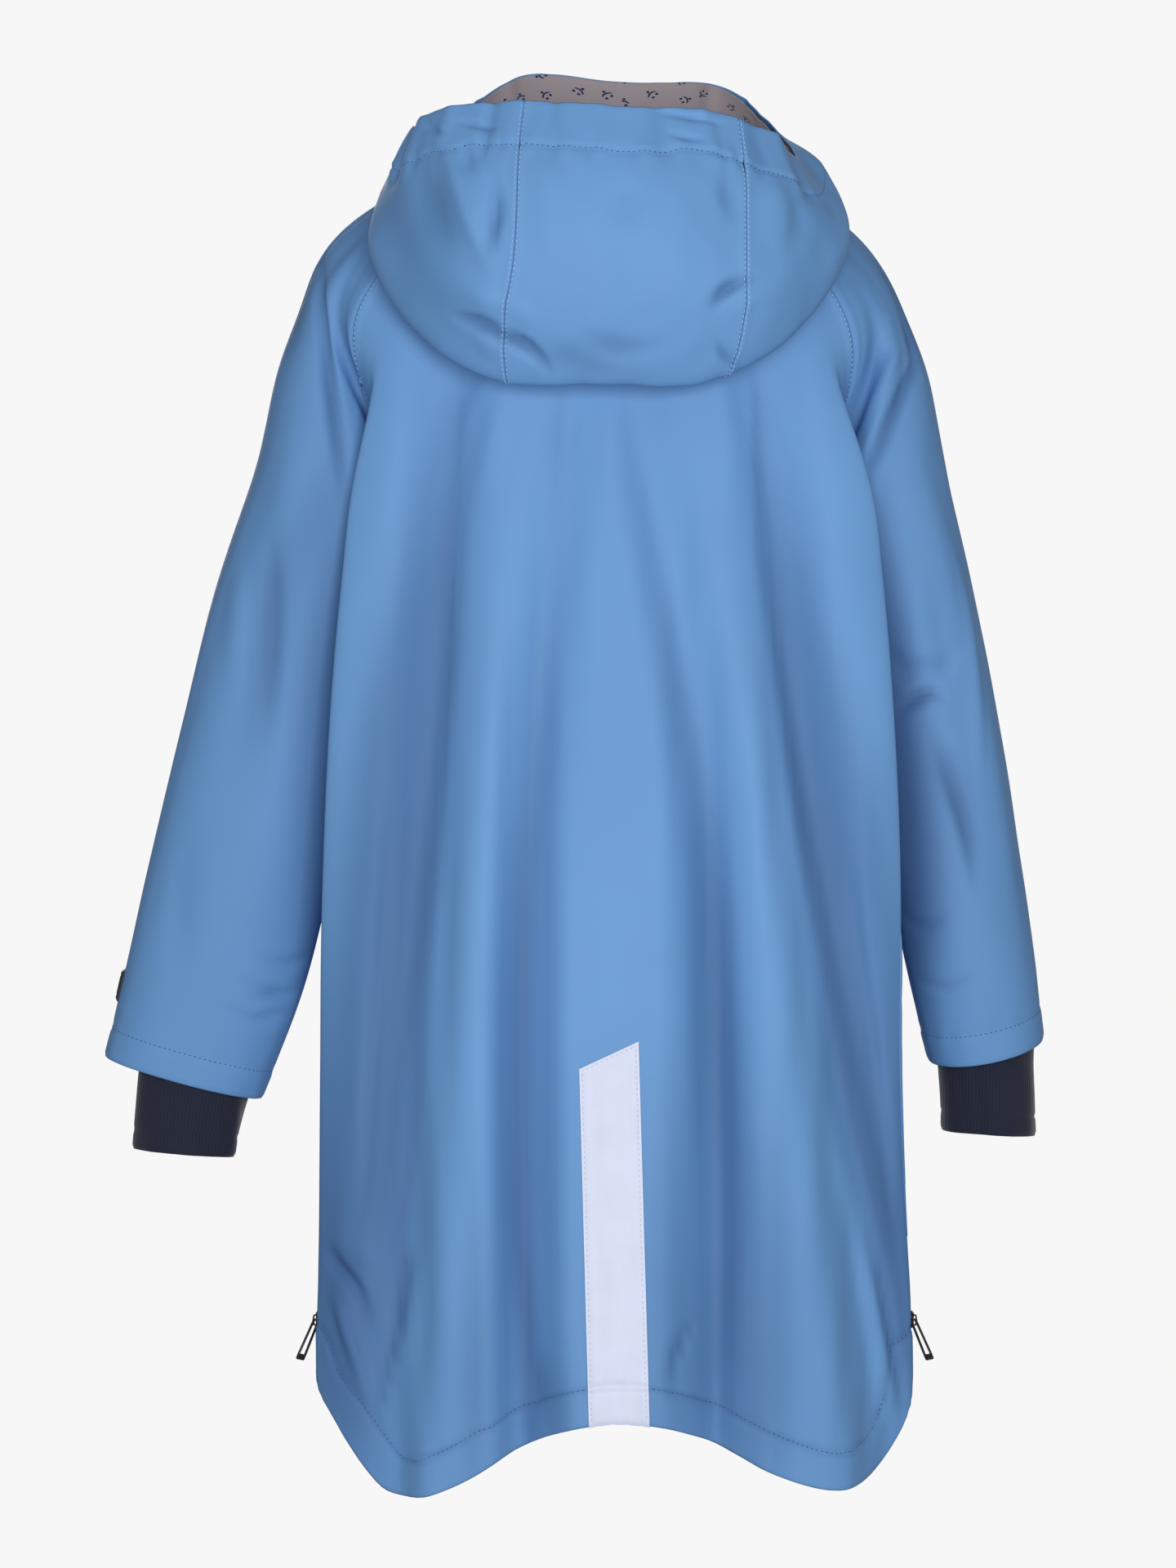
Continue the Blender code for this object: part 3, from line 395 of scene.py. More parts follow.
def hood_point(angle, t):
    """Hood point: angle in degrees from the centre back, t 0 at the neckline, 1 at the rim."""
    turn = (angle + 180) % 360 - 180
    size = abs(turn)

    def at(name):
        return look_up(HOOD, HOOD_COLUMNS, "angle", size, name)

    base = neckline(size)
    rings = ("under", "fold", "belly", "upper", "rim")
    reaches = [math.hypot(base.x, base.y)] + [at(ring + "_r") for ring in rings]
    heights = [base.z + HOOD_BASE_RISE] + [at(ring + "_z") for ring in rings]
    r = spline(HOOD_RINGS, reaches, t)
    z = spline(HOOD_RINGS, heights, t)
    if turn < 0:
        z -= at("right_drop") * smooth_step(HOOD_RINGS[3], 1.0, t)
    spread = math.atan2(base.x, base.y) * (1 - t) + math.radians(size) * t
    spread = math.copysign(spread, turn)
    shift = HOOD_SHIFT * math.cos(spread) * smooth_step(0.0, HOOD_RINGS[1], t)
    return Vector((r * math.sin(spread) + shift, r * math.cos(spread), z))


def seam_angle(side, t):
    """Angle of one of the hood's seams at place t up the hood."""
    size = look_up(HOOD_SEAMS, HOOD_SEAM_COLUMNS, "up", t, side)
    return size if side == "left" else -size


def hood_normal(angle, t):
    """Direction from the hood's outer cloth towards its inside."""
    step_a, step_t = 6.0, 0.05
    low, high = max(t - step_t, 0.0), min(t + step_t, 1.0)
    around = hood_point(angle + step_a, t) - hood_point(angle - step_a, t)
    up = hood_point(angle, high) - hood_point(angle, low)
    return around.cross(up).normalized()


# ---------------------------------------------------------------- surfaces
MM = 0.001
CREASE_STEP = 0.006                 # a crease's path is followed in steps of about this length
TROUGH_SHADE = 0.45                 # painted shade down in a deep trough


def cubic_weights(knots, values):
    """Matrix that takes samples at rising knots to smooth values at the given places."""
    knots = np.asarray(knots, float)
    values = np.asarray(values, float)
    count = len(knots)
    slopes = np.zeros((count, count))
    for k in range(count):
        low, high = max(k - 1, 0), min(k + 1, count - 1)
        slopes[k, high] += 1 / (knots[high] - knots[low])
        slopes[k, low] -= 1 / (knots[high] - knots[low])
    i = np.clip(np.searchsorted(knots, values, side="right") - 1, 0, count - 2)
    span = knots[i + 1] - knots[i]
    s = (values - knots[i]) / span
    s2, s3 = s * s, s * s * s
    rows = np.arange(len(values))
    weights = np.zeros((len(values), count))
    np.add.at(weights, (rows, i), 2 * s3 - 3 * s2 + 1)
    np.add.at(weights, (rows, i + 1), 3 * s2 - 2 * s3)
    weights += (s3 - 2 * s2 + s)[:, None] * span[:, None] * slopes[i]
    weights += (s3 - s2)[:, None] * span[:, None] * slopes[i + 1]
    return weights


class Sheet:
    """Grid of points of one cloth piece: rows run along it, columns across it.

    From row joined_from on, the last column is the same as the first.
    """

    def __init__(self, points, across, along, closed=False):
        self.points = np.asarray(points, float)
        self.across = np.asarray(across, float)
        self.along = np.asarray(along, float)
        self.closed = closed
        self.joined_from = 0 if closed else None
        # painted shade of each point, darkening the cloth's colour where shade falls
        self.shade = None
        self.print_places = None
        self.join()

    def join(self):
        """Bring the last column onto the first where they are one."""
        if self.joined_from is not None:
            self.points[self.joined_from:, -1] = self.points[self.joined_from:, 0]

    def refined(self, across, along):
        """The same sheet at other places across and along."""
        rows = cubic_weights(self.along, along)
        columns = cubic_weights(self.across, across)
        points = np.einsum("ra,sb,abk->rsk", rows, columns, self.points)
        return Sheet(points, across, along, self.closed)

    def turn_over(self):
        """Count the columns the other way, which swaps the inside and the outside."""
        self.points = self.points[:, ::-1]
        self.across = self.across[0] + self.across[-1] - self.across[::-1]

    def axes(self):
        """The points' x, y and z, each as a grid."""
        return (self.points[..., k] for k in range(3))

    def normals(self):
        """Outward directions."""
        du = np.gradient(self.points, axis=1)
        if self.closed:
            ring = self.points[:, :-1]
            du = (np.roll(ring, -1, axis=1) - np.roll(ring, 1, axis=1)) / 2
            du = np.concatenate([du, du[:, :1]], axis=1)
        normal = np.cross(du, np.gradient(self.points, axis=0))
        return normal / np.maximum(np.linalg.norm(normal, axis=2, keepdims=True), 1e-12)

    def distances(self):
        """Cloth distance of each point from the first column and from the first row."""
        du = np.linalg.norm(np.diff(self.points, axis=1), axis=2)
        dv = np.linalg.norm(np.diff(self.points, axis=0), axis=2)
        start_u, start_v = np.zeros((len(self.along), 1)), np.zeros((1, len(self.across)))
        return (np.concatenate([start_u, np.cumsum(du, axis=1)], axis=1),
                np.concatenate([start_v, np.cumsum(dv, axis=0)], axis=0))

    def edge_distance(self):
        """Cloth distance of each point from the nearer of the two long edges."""
        across, _ = self.distances()
        return np.minimum(across, across[:, -1:] - across)

    def foot_distance(self):
        """Cloth distance of each point from the last row."""
        _, down = self.distances()
        return down[-1] - down

    def push(self, height):
        """Move the points out along their normals."""
        self.points = self.points + self.normals() * height[..., None]
        self.join()


def sampled(function, across, along, closed=False):
    """Sheet through a function of the places across and along."""
    points = [[tuple(function(u, v)) for u in across] for v in along]
    return Sheet(points, across, along, closed)


def smooth(low, high, t):
    """0 below low, 1 above high, smooth between; works on arrays."""
    s = np.clip((t - low) / (high - low), 0, 1)
    return s * s * (3 - 2 * s)


def bell(distance, width):
    """1 at no distance and soft to nothing at about twice the width."""
    return np.exp(-(distance / width) ** 2)


def run_lengths(points):
    """Distance of each point of a path from its start."""
    return np.concatenate([[0], np.cumsum(np.linalg.norm(np.diff(points, axis=0), axis=1))])


def between(places, knots, rows):
    """Rows of values at the given places, straight between those at the knots."""
    return np.stack([np.interp(places, knots, rows[:, k]) for k in range(rows.shape[1])], axis=-1)


def crease(x, z, path, skew=0.0):
    """Soft trough or ridge along a path of (x, z, half width, height) rows in millimetres.

    The height fades to nothing at both ends; skew makes the side to the
    right of the path's direction narrower (above 0) or wider (below 0).
    """
    path = np.array(path, float) * MM
    along = run_lengths(path[:, :2])
    total = along[-1]
    count = max(8, int(total / CREASE_STEP))
    travelled = np.linspace(0, total, count)
    fine = cubic_weights(along, travelled) @ path
    best = np.full(x.shape, 1e9)
    height = np.zeros(x.shape)
    for k in range(count - 1):
        ax, az, start_width, start_height = fine[k]
        bx, bz, end_width, end_height = fine[k + 1]
        dx, dz = bx - ax, bz - az
        size = math.hypot(dx, dz) + 1e-12
        s = np.clip(((x - ax) * dx + (z - az) * dz) / size ** 2, 0, 1)
        away = np.hypot(x - ax - s * dx, z - az - s * dz)
        side = ((x - ax) * dz - (z - az) * dx) / size
        width = start_width + (end_width - start_width) * s
        width = width * np.where(side > 0, 1 - skew, 1 + skew)
        ratio = np.clip(away / np.maximum(width, 1e-6), 0, 1)
        shape = np.where(ratio < 1, np.cos(ratio * math.pi / 2) ** 2, 0)
        fade = np.sin(np.pi * np.clip((travelled[k] + s * size) / total, 0, 1)) ** 0.6
        deep = start_height + (end_height - start_height) * s
        height = np.where(away < best, deep * shape * fade, height)
        best = np.minimum(best, away)
    return height


def creases(x, z, table):
    """All the creases of a table together; its rows are a skew and then a path."""
    return sum(crease(x, z, path, skew) for skew, *path in table)


def waves(a, b, size_a, size_b, seed):
    """Smooth uneven field from -1 to 1 over two lengths, with features of the given sizes."""
    random = np.random.default_rng(seed)
    field = np.zeros(np.broadcast(a, b).shape)
    for _ in range(14):
        fa, fb = random.normal(0, 1, 2)
        turn = random.uniform(0, 2 * math.pi)
        field += np.cos(2 * math.pi * (fa * a / size_a + fb * b / size_b) / 1.6 + turn)
    return field / 5.3


def layered(*shades):
    """Depth of several painted shades laid over each other."""
    clear = 1.0
    for shade in shades:
        clear = clear * (1 - shade)
    return 1 - clear


def fall_shade(x, z, table, height):
    """Painted shade in the placed falls, in per cent, and in the creases' own troughs."""
    per_cent = 0.01 / MM
    shade = TROUGH_SHADE * smooth(0.0005, 0.0060, -height)
    for skew, *path in table:
        shade = layered(shade, np.clip(crease(x, z, path, skew) * per_cent, 0, 1))
    return shade


def seam_profile(distance, half=0.0014, ridge=0.0034, dip=-0.0008):
    """Height beside a seam: a soft dip at the seam and a low swell over its allowance."""
    return dip * bell(distance, half) + 0.0005 * bell(distance - ridge, 0.0022)


def folded_hem(rest, depth, pucker, raised, drawn, puckered, reach, worn):
    """Height of a folded hem: a raised band, drawn in and puckered at its stitches, worn at its edge."""
    height = raised * (1 - smooth(depth - 0.001, depth + 0.002, rest))
    height -= drawn * bell(rest - depth, HEM_LINE)
    height += puckered * pucker * bell(rest - depth, reach)
    return height - worn * bell(rest, 0.0018)


def graded(count, low, high, length, edges=(0.0012, 0.0026, 0.0042, 0.0062, 0.0090)):
    """Even places from low to high with extra ones close to both ends; length in metres."""
    span = high - low
    inner = edges[-1] / length
    middle = np.linspace(low + span * inner, high - span * inner, count)
    close = np.array([0.0, *edges[:-1]]) / length * span
    return np.concatenate([low + close, middle, (high - close)[::-1]])


def levels(upper, lower, last=()):
    """Values from 0 to 1 and on to 2, the last ones at the given distances from 2."""
    onward = np.linspace(1, 2, lower)[1:]
    onward = onward[:len(onward) - len(last)]
    return np.concatenate([np.linspace(0, 1, upper), onward, 2 - np.array(last)])


# ---------------------------------------------------------------- meshes
def add_object(name, data, material=None):
    """Object in the scene with the given mesh, lamp or camera."""
    thing = bpy.data.objects.new(name, data)
    bpy.context.scene.collection.objects.link(thing)
    if material:
        data.materials.append(material)
    return thing


def add_finished(name, bm, material):
    """Smoothly shaded object from a bmesh."""
    mesh = bpy.data.meshes.new(name)
    bm.to_mesh(mesh)
    bm.free()
    mesh.shade_smooth()
    return add_object(name, mesh, material)


def sheet_mesh(name, sheet, material, wall):
    """Object from a sheet, with metric texture coordinates and a wall on its inner side."""
    rows, columns = sheet.points.shape[:2]
    places = np.stack(sheet.print_places or sheet.distances(), axis=-1)
    used = np.arange(rows * columns).reshape(rows, columns)
    if sheet.joined_from is not None:
        used[sheet.joined_from:, -1] = used[sheet.joined_from:, 0]
    keep, index = np.unique(used, return_inverse=True)
    index = index.reshape(rows, columns)
    vertices = sheet.points.reshape(-1, 3)[keep]
    quads = np.stack([index[:-1, 1:], index[1:, 1:], index[1:, :-1], index[:-1, :-1]], axis=-1)
    corners = np.stack([places[:-1, 1:], places[1:, 1:], places[1:, :-1], places[:-1, :-1]], axis=2)
    mesh = bpy.data.meshes.new(name)
    mesh.from_pydata(vertices.tolist(), [], quads.reshape(-1, 4).tolist())
    layer = mesh.uv_layers.new(name="cloth")
    layer.data.foreach_set("uv", corners.reshape(-1).astype(np.float32))
    # the painted shade goes onto the mesh for the cloth's material
    if sheet.shade is not None:
        depth = mesh.attributes.new("shade", "FLOAT", "POINT")
        depth.data.foreach_set("value", sheet.shade.reshape(-1)[keep].astype(np.float32))
    mesh.shade_smooth()
    thing = add_object(name, mesh, material)
    if wall:
        shell = thing.modifiers.new("wall", "SOLIDIFY")
        shell.thickness = wall
        shell.offset = -1
        shell.use_rim = True
    return thing


def add_stitch(bm, path, normals):
    """One stitch: a thread with three sides that dips into the cloth at both ends."""
    ring = ((0, 1), (0.87, -0.5), (-0.87, -0.5))
    way = path[-1] - path[0]
    way /= max(np.linalg.norm(way), 1e-9)
    side = np.cross(normals, way)
    start = bm.verts.new(path[0] - normals[0] * THREAD * 0.9)
    lines = []
    for k in (1, 2):
        middle = path[k] + normals[k] * THREAD * 0.15
        lines.append([bm.verts.new(middle + THREAD * (side[k] * a * 1.15 + normals[k] * b))
                      for a, b in ring])
    end = bm.verts.new(path[3] - normals[3] * THREAD * 0.9)
    for a in range(3):
        b = (a + 1) % 3
        bm.faces.new((start, lines[0][b], lines[0][a]))
        bm.faces.new((lines[0][a], lines[0][b], lines[1][b], lines[1][a]))
        bm.faces.new((lines[1][a], lines[1][b], end))


def stitch_mesh(name, runs, material):
    """Joined stitches along runs; a run is (points, normals) of a path on the cloth."""
    bm = bmesh.new()
    for points, normals in runs:
        along = run_lengths(points)
        for k in range(int(along[-1] / (STITCH + STITCH_GAP))):
            start = (k + 0.15) * (STITCH + STITCH_GAP)
            places = start + STITCH * np.array([0, 0.25, 0.75, 1])
            out = between(places, along, normals)
            out /= np.linalg.norm(out, axis=1, keepdims=True)
            add_stitch(bm, between(places, along, points), out)
    return add_finished(name, bm, material)


# ---------------------------------------------------------------- materials
CLOTH_WEAVE, TAPE_WEAVE, KNIT_LOOPS, KNIT_RIBS = 0.00085, 0.0009, 0.0011, 0.0026    # pitches
SPRIGS = 38.0                       # cells of the lining's print in a metre


class Nodes:
    """Small helper that adds and links shader nodes."""

    def __init__(self, name):
        self.material = bpy.data.materials.new(name)
        self.material.use_nodes = True
        self.tree = self.material.node_tree
        self.shader = self.tree.nodes["Principled BSDF"]

    def add(self, kind, inputs, **settings):
        """Node of a kind with its inputs set or linked."""
        node = self.tree.nodes.new(kind)
        for key, value in settings.items():
            setattr(node, key, value)
        for key, value in inputs.items():
            self.set(node, key, value)
        return node

    def set(self, node, key, value):
        """Link another node's output to an input, or give it a value."""
        socket = node.inputs[key]
        if hasattr(value, "is_output"):
            self.tree.links.new(value, socket)
        else:
            socket.default_value = value

    def finish(self, **inputs):
        """Set the shader's inputs, with _ for the spaces in their names; the finished material."""
        for key, value in inputs.items():
            self.set(self.shader, key.replace("_", " "), value)
        return self.material

    def flat(self):
        """Texture coordinates in metres of cloth."""
        return self.add("ShaderNodeUVMap", {}, uv_map="cloth").outputs["UV"]

    def solid(self):
        """Texture coordinates in space."""
        return self.add("ShaderNodeTexCoord", {}).outputs["Object"]

    def math(self, operation, *values):
        """Arithmetic on values or outputs."""
        return self.add("ShaderNodeMath", dict(enumerate(values)), operation=operation).outputs[0]

    def vector(self, operation, inputs):
        """Arithmetic on vectors."""
        return self.add("ShaderNodeVectorMath", inputs, operation=operation).outputs[0]

    def scaled(self, value, times, plus):
        """value * times + plus."""
        return self.math("ADD", self.math("MULTIPLY", value, times), plus)

    def noise(self, vector, scale, detail=2.0, rough=0.5):
        """Uneven field with features of 1 / scale metres."""
        inputs = {"Vector": vector, "Scale": scale, "Detail": detail, "Roughness": rough}
        return self.add("ShaderNodeTexNoise", inputs).outputs["Fac"]

    def tones(self, factor, colour, dark, light, low=0.3, high=0.7):
        """Colour times dark where factor is low, and times light where it is high."""
        node = self.add("ShaderNodeValToRGB", {"Fac": factor})
        for element, place, share in zip(node.color_ramp.elements, (low, high), (dark, light)):
            element.position = place
            element.color = (*(min(c * share, 1) for c in colour), 1)
        return node.outputs["Color"]

    def mix(self, factor, start, end):
        """Colour between an output and a plain colour."""
        return self.add("ShaderNodeMix", {0: factor, 6: start, 7: (*end, 1)}, data_type="RGBA").outputs[2]

    def bump(self, height, strength, distance, **normal):
        """Normal of a surface with the given height."""
        inputs = {"Height": height, "Strength": strength, "Distance": distance, **normal}
        return self.add("ShaderNodeBump", inputs).outputs["Normal"]

    def weave(self, coordinates, pitch):
        """Height of a plain weave: crossing threads of the given pitch in metres."""
        parts = self.add("ShaderNodeSeparateXYZ", {"Vector": coordinates})
        turn = 2 * math.pi / pitch
        a = self.math("SINE", self.math("MULTIPLY", parts.outputs["X"], turn))
        b = self.math("SINE", self.math("MULTIPLY", parts.outputs["Y"], turn))
        return self.math("MULTIPLY", a, b)


def coated_cloth(name, colour, deep, rough=0.62):
    """Matt coated outer cloth: faint weave, slight mottling, and painted shade down in its falls."""
    nodes = Nodes(name)
    flat, solid = nodes.flat(), nodes.solid()
    # painted shade of each point, read from the mesh
    fall = nodes.add("ShaderNodeAttribute", {}, attribute_name="shade").outputs["Fac"]
    light = nodes.tones(nodes.noise(solid, 9.0, 2.0, 0.45), colour, 0.965, 1.03, 0.25, 0.75)
    grain = nodes.noise(solid, 420.0, 2.0, 0.6)
    fine = nodes.bump(nodes.weave(flat, CLOTH_WEAVE), 0.14, 0.00005)
    return nodes.finish(
        # where the painted shade is full, the colour is scaled by deep
        Base_Color=nodes.mix(fall, light, [c * d for c, d in zip(colour, deep)]),
        Roughness=nodes.scaled(grain, 0.08, rough - 0.04),
        Normal=nodes.bump(nodes.noise(solid, 34.0, 2.0, 0.4), 0.10, 0.0010, Normal=fine),
        Specular_IOR_Level=0.20)


def sprig_marks(nodes, flat):
    """1 on small sprigs, one in each of the cloth's cells: a curved stem and three dots."""
    cells = nodes.add("ShaderNodeTexVoronoi", {"Vector": flat, "Scale": SPRIGS, "Randomness": 0.62},
                      voronoi_dimensions="2D", feature="F1")
    scaled = nodes.vector("SCALE", {0: flat, "Scale": SPRIGS})
    centre = nodes.vector("SCALE", {0: cells.outputs["Position"], "Scale": SPRIGS})
    away = nodes.vector("SUBTRACT", {0: scaled, 1: centre})
    random = nodes.add("ShaderNodeSeparateColor", {"Color": cells.outputs["Color"]})
    angle = nodes.math("MULTIPLY", random.outputs[0], 6.28)
    turned = nodes.add("ShaderNodeVectorRotate", {"Vector": away, "Angle": angle},
                       rotation_type="Z_AXIS").outputs["Vector"]
    parts = nodes.add("ShaderNodeSeparateXYZ", {"Vector": turned})
    x, y = parts.outputs["X"], parts.outputs["Y"]
    curve = nodes.math("MULTIPLY", nodes.math("MULTIPLY", x, x), 2.2)
    stem = nodes.math("ABSOLUTE", nodes.math("SUBTRACT", nodes.math("SUBTRACT", y, curve), -0.05))
    marks = nodes.math("MULTIPLY", nodes.math("LESS_THAN", stem, 0.034),
                       nodes.math("LESS_THAN", nodes.math("ABSOLUTE", x), 0.19))
    for dot_x, dot_y in ((-0.10, 0.14), (0.11, 0.16), (0.0, -0.15)):
        dx = nodes.math("SUBTRACT", x, dot_x)
        dy = nodes.math("SUBTRACT", y, dot_y)
        square = nodes.math("ADD", nodes.math("MULTIPLY", dx, dx), nodes.math("MULTIPLY", dy, dy))
        marks = nodes.math("MAXIMUM", marks, nodes.math("LESS_THAN", square, 0.0030))
    return marks


def printed_lining(name, ground, ink):
    """Soft jersey with small scattered sprigs."""
    nodes = Nodes(name)
    flat = nodes.flat()
    marks = sprig_marks(nodes, flat)
    light = nodes.tones(nodes.noise(flat, 900.0), ground, 0.93, 1.05)
    return nodes.finish(
        Base_Color=nodes.mix(marks, light, ink), Roughness=0.85, Sheen_Weight=0.15,
        Specular_IOR_Level=0.2, Normal=nodes.bump(nodes.weave(flat, KNIT_LOOPS), 0.3, 0.00012))


def rib_knit(name, colour):
    """Knitted cuff cloth with fine ribs along it, with painted shade in their hollows and painted light on
    their crests.
    """
    nodes = Nodes(name)
    flat = nodes.flat()
    parts = nodes.add("ShaderNodeSeparateXYZ", {"Vector": flat})
    rib = nodes.math("SINE", nodes.math("MULTIPLY", parts.outputs["X"], 2 * math.pi / KNIT_RIBS))
    loops = nodes.weave(flat, KNIT_LOOPS)
    height = nodes.math("ADD", nodes.math("MULTIPLY", rib, 0.8), nodes.math("MULTIPLY", loops, 0.35))
    # painted shade in the ribs' hollows and painted light on their crests
    shade = nodes.scaled(rib, 0.18, 0.5)
    return nodes.finish(
        Base_Color=nodes.tones(shade, colour, 0.75, 1.2, 0.2, 0.8), Roughness=0.9,
        Specular_IOR_Level=0.25, Sheen_Weight=0.25, Sheen_Roughness=0.4,
        Normal=nodes.bump(height, 0.5, 0.00025))


def reflective(name, colour):
    """Pale retroreflective tape with a faint grid of its carrier cloth."""
    nodes = Nodes(name)
    flat = nodes.flat()
    mottle = nodes.noise(nodes.solid(), 45.0, 4.0, 0.6)
    return nodes.finish(
        Base_Color=nodes.tones(mottle, colour, 0.93, 1.04), Roughness=nodes.scaled(mottle, 0.2, 0.36),
        Specular_IOR_Level=0.4, Normal=nodes.bump(nodes.weave(flat, TAPE_WEAVE), 0.15, 0.00005))


def plain(name, colour, rough, metallic=0.0):
    """Simple finish with a fine uneven grain."""
    nodes = Nodes(name)
    grain = nodes.noise(nodes.solid(), 300.0, 3.0, 0.6)
    return nodes.finish(
        Base_Color=nodes.tones(grain, colour, 0.85, 1.12), Roughness=nodes.scaled(grain, 0.2, rough - 0.1),
        Metallic=metallic, Normal=nodes.bump(grain, 0.15, 0.0001))


# ---------------------------------------------------------------- body panels
# Creases are rows of a skew and a path of (x, z, half width, height), all in
# millimetres.  In the tables of painted shade the last number is its depth in per cent.
BACK_CREASES = (
    # the long falls' broad outer walls
    (0.62, (108, -95, 16, 0), (108, -150, 26, -4), (117, -255, 42, -6.5), (132, -407, 54, -8.5),
     (149, -560, 56, -9), (166, -720, 52, -8.5), (174, -840, 44, -5)),
    (-0.62, (-104, -100, 18, 0), (-106, -160, 28, -4.5), (-112, -255, 38, -6), (-138, -407, 44, -7.5),
     (-166, -560, 46, -8), (-199, -720, 40, -7), (-214, -840, 30, -3)),
    # floors of the two middle falls
    (0, (26, -140, 20, 0), (38, -260, 22, -2), (54, -380, 22, -2.5), (63, -500, 22, -3), (65, -640, 22, -3),
     (63, -760, 22, -3), (60, -850, 20, -1.5)),
    (0.1, (-14, -140, 20, 0), (-34, -270, 22, -2), (-56, -380, 24, -2.5), (-70, -500, 26, -3),
     (-76, -620, 26, -3), (-84, -740, 26, -3), (-80, -850, 22, -1.5)),
    # crests between them
    (0.1, (88, -200, 20, 0), (87, -380, 22, 1.5), (98, -560, 26, 1.2), (106, -680, 26, 1.2),
     (114, -800, 24, 0.8), (128, -880, 16, 0)),
    (-0.1, (-86, -200, 20, 0), (-98, -380, 22, 1.5), (-116, -540, 26, 1.2), (-132, -680, 26, 1.2),
     (-146, -780, 24, 0.8), (-160, -880, 16, 0)),
    # small falls beside the left edge
    (0.2, (156, -400, 10, 0), (160, -500, 14, -2.5), (167, -600, 13, -3), (176, -700, 11, -2.5),
     (184, -770, 8, -1)),
    (0, (205, -745, 6, 0), (196, -762, 8, -5.5), (180, -780, 9, -4.2), (172, -815, 10, -1)),
    (0, (148, -780, 7, 0), (153, -815, 8, 4.2), (160, -845, 8, 4.2), (166, -870, 8, 1)),
    (0, (200, -775, 6, 0), (190, -800, 8, 4.2), (178, -835, 8, 3.4), (170, -865, 7, 0)),
    # right edge
    (-0.1, (-172, -725, 7, 0), (-180, -770, 8, 4.2), (-188, -820, 9, 4.8), (-193, -855, 10, 3),
     (-202, -880, 7, 0)),
    (0, (-160, -440, 10, 0), (-174, -540, 13, -2.5), (-190, -640, 13, -3), (-203, -730, 10, -2),
     (-208, -780, 8, 0)),
    # crisp folds at the foot, on the left, beside the strip and on the right
    (0.35, (142, -735, 4, 0), (146, -760, 6, -3.4), (151, -807, 6, -4), (160, -848, 6, -3.6),
     (167, -880, 4, 0)),
    (0, (133, -740, 6, 0), (137, -765, 8, 2.4), (142, -810, 8, 2.8), (151, -852, 7, 0)),
    (0, (57, -812, 3, 0), (55.5, -828, 5, -2.4), (53.5, -850, 5, -2.8), (52, -866, 3, 0)),
    (0.3, (-58, -790, 3, 0), (-53, -800, 6, -2.8), (-44, -821, 7, -3.4), (-41, -845, 5, -2),
     (-40, -858, 3, 0)),
    (-0.35, (-188, -745, 4, 0), (-190, -774, 6, -3.4), (-200, -835, 6, -4), (-209, -882, 4, 0)),
    # pull under the hood
    (0, (30, -135, 8, 0), (34, -175, 13, -2), (40, -215, 10, 0)),
    (0, (-30, -135, 8, 0), (-31, -180, 14, 1.6), (-40, -240, 10, 0)),
    (0, (-75, -130, 8, 0), (-82, -190, 14, 2), (-86, -260, 12, 0)),
)
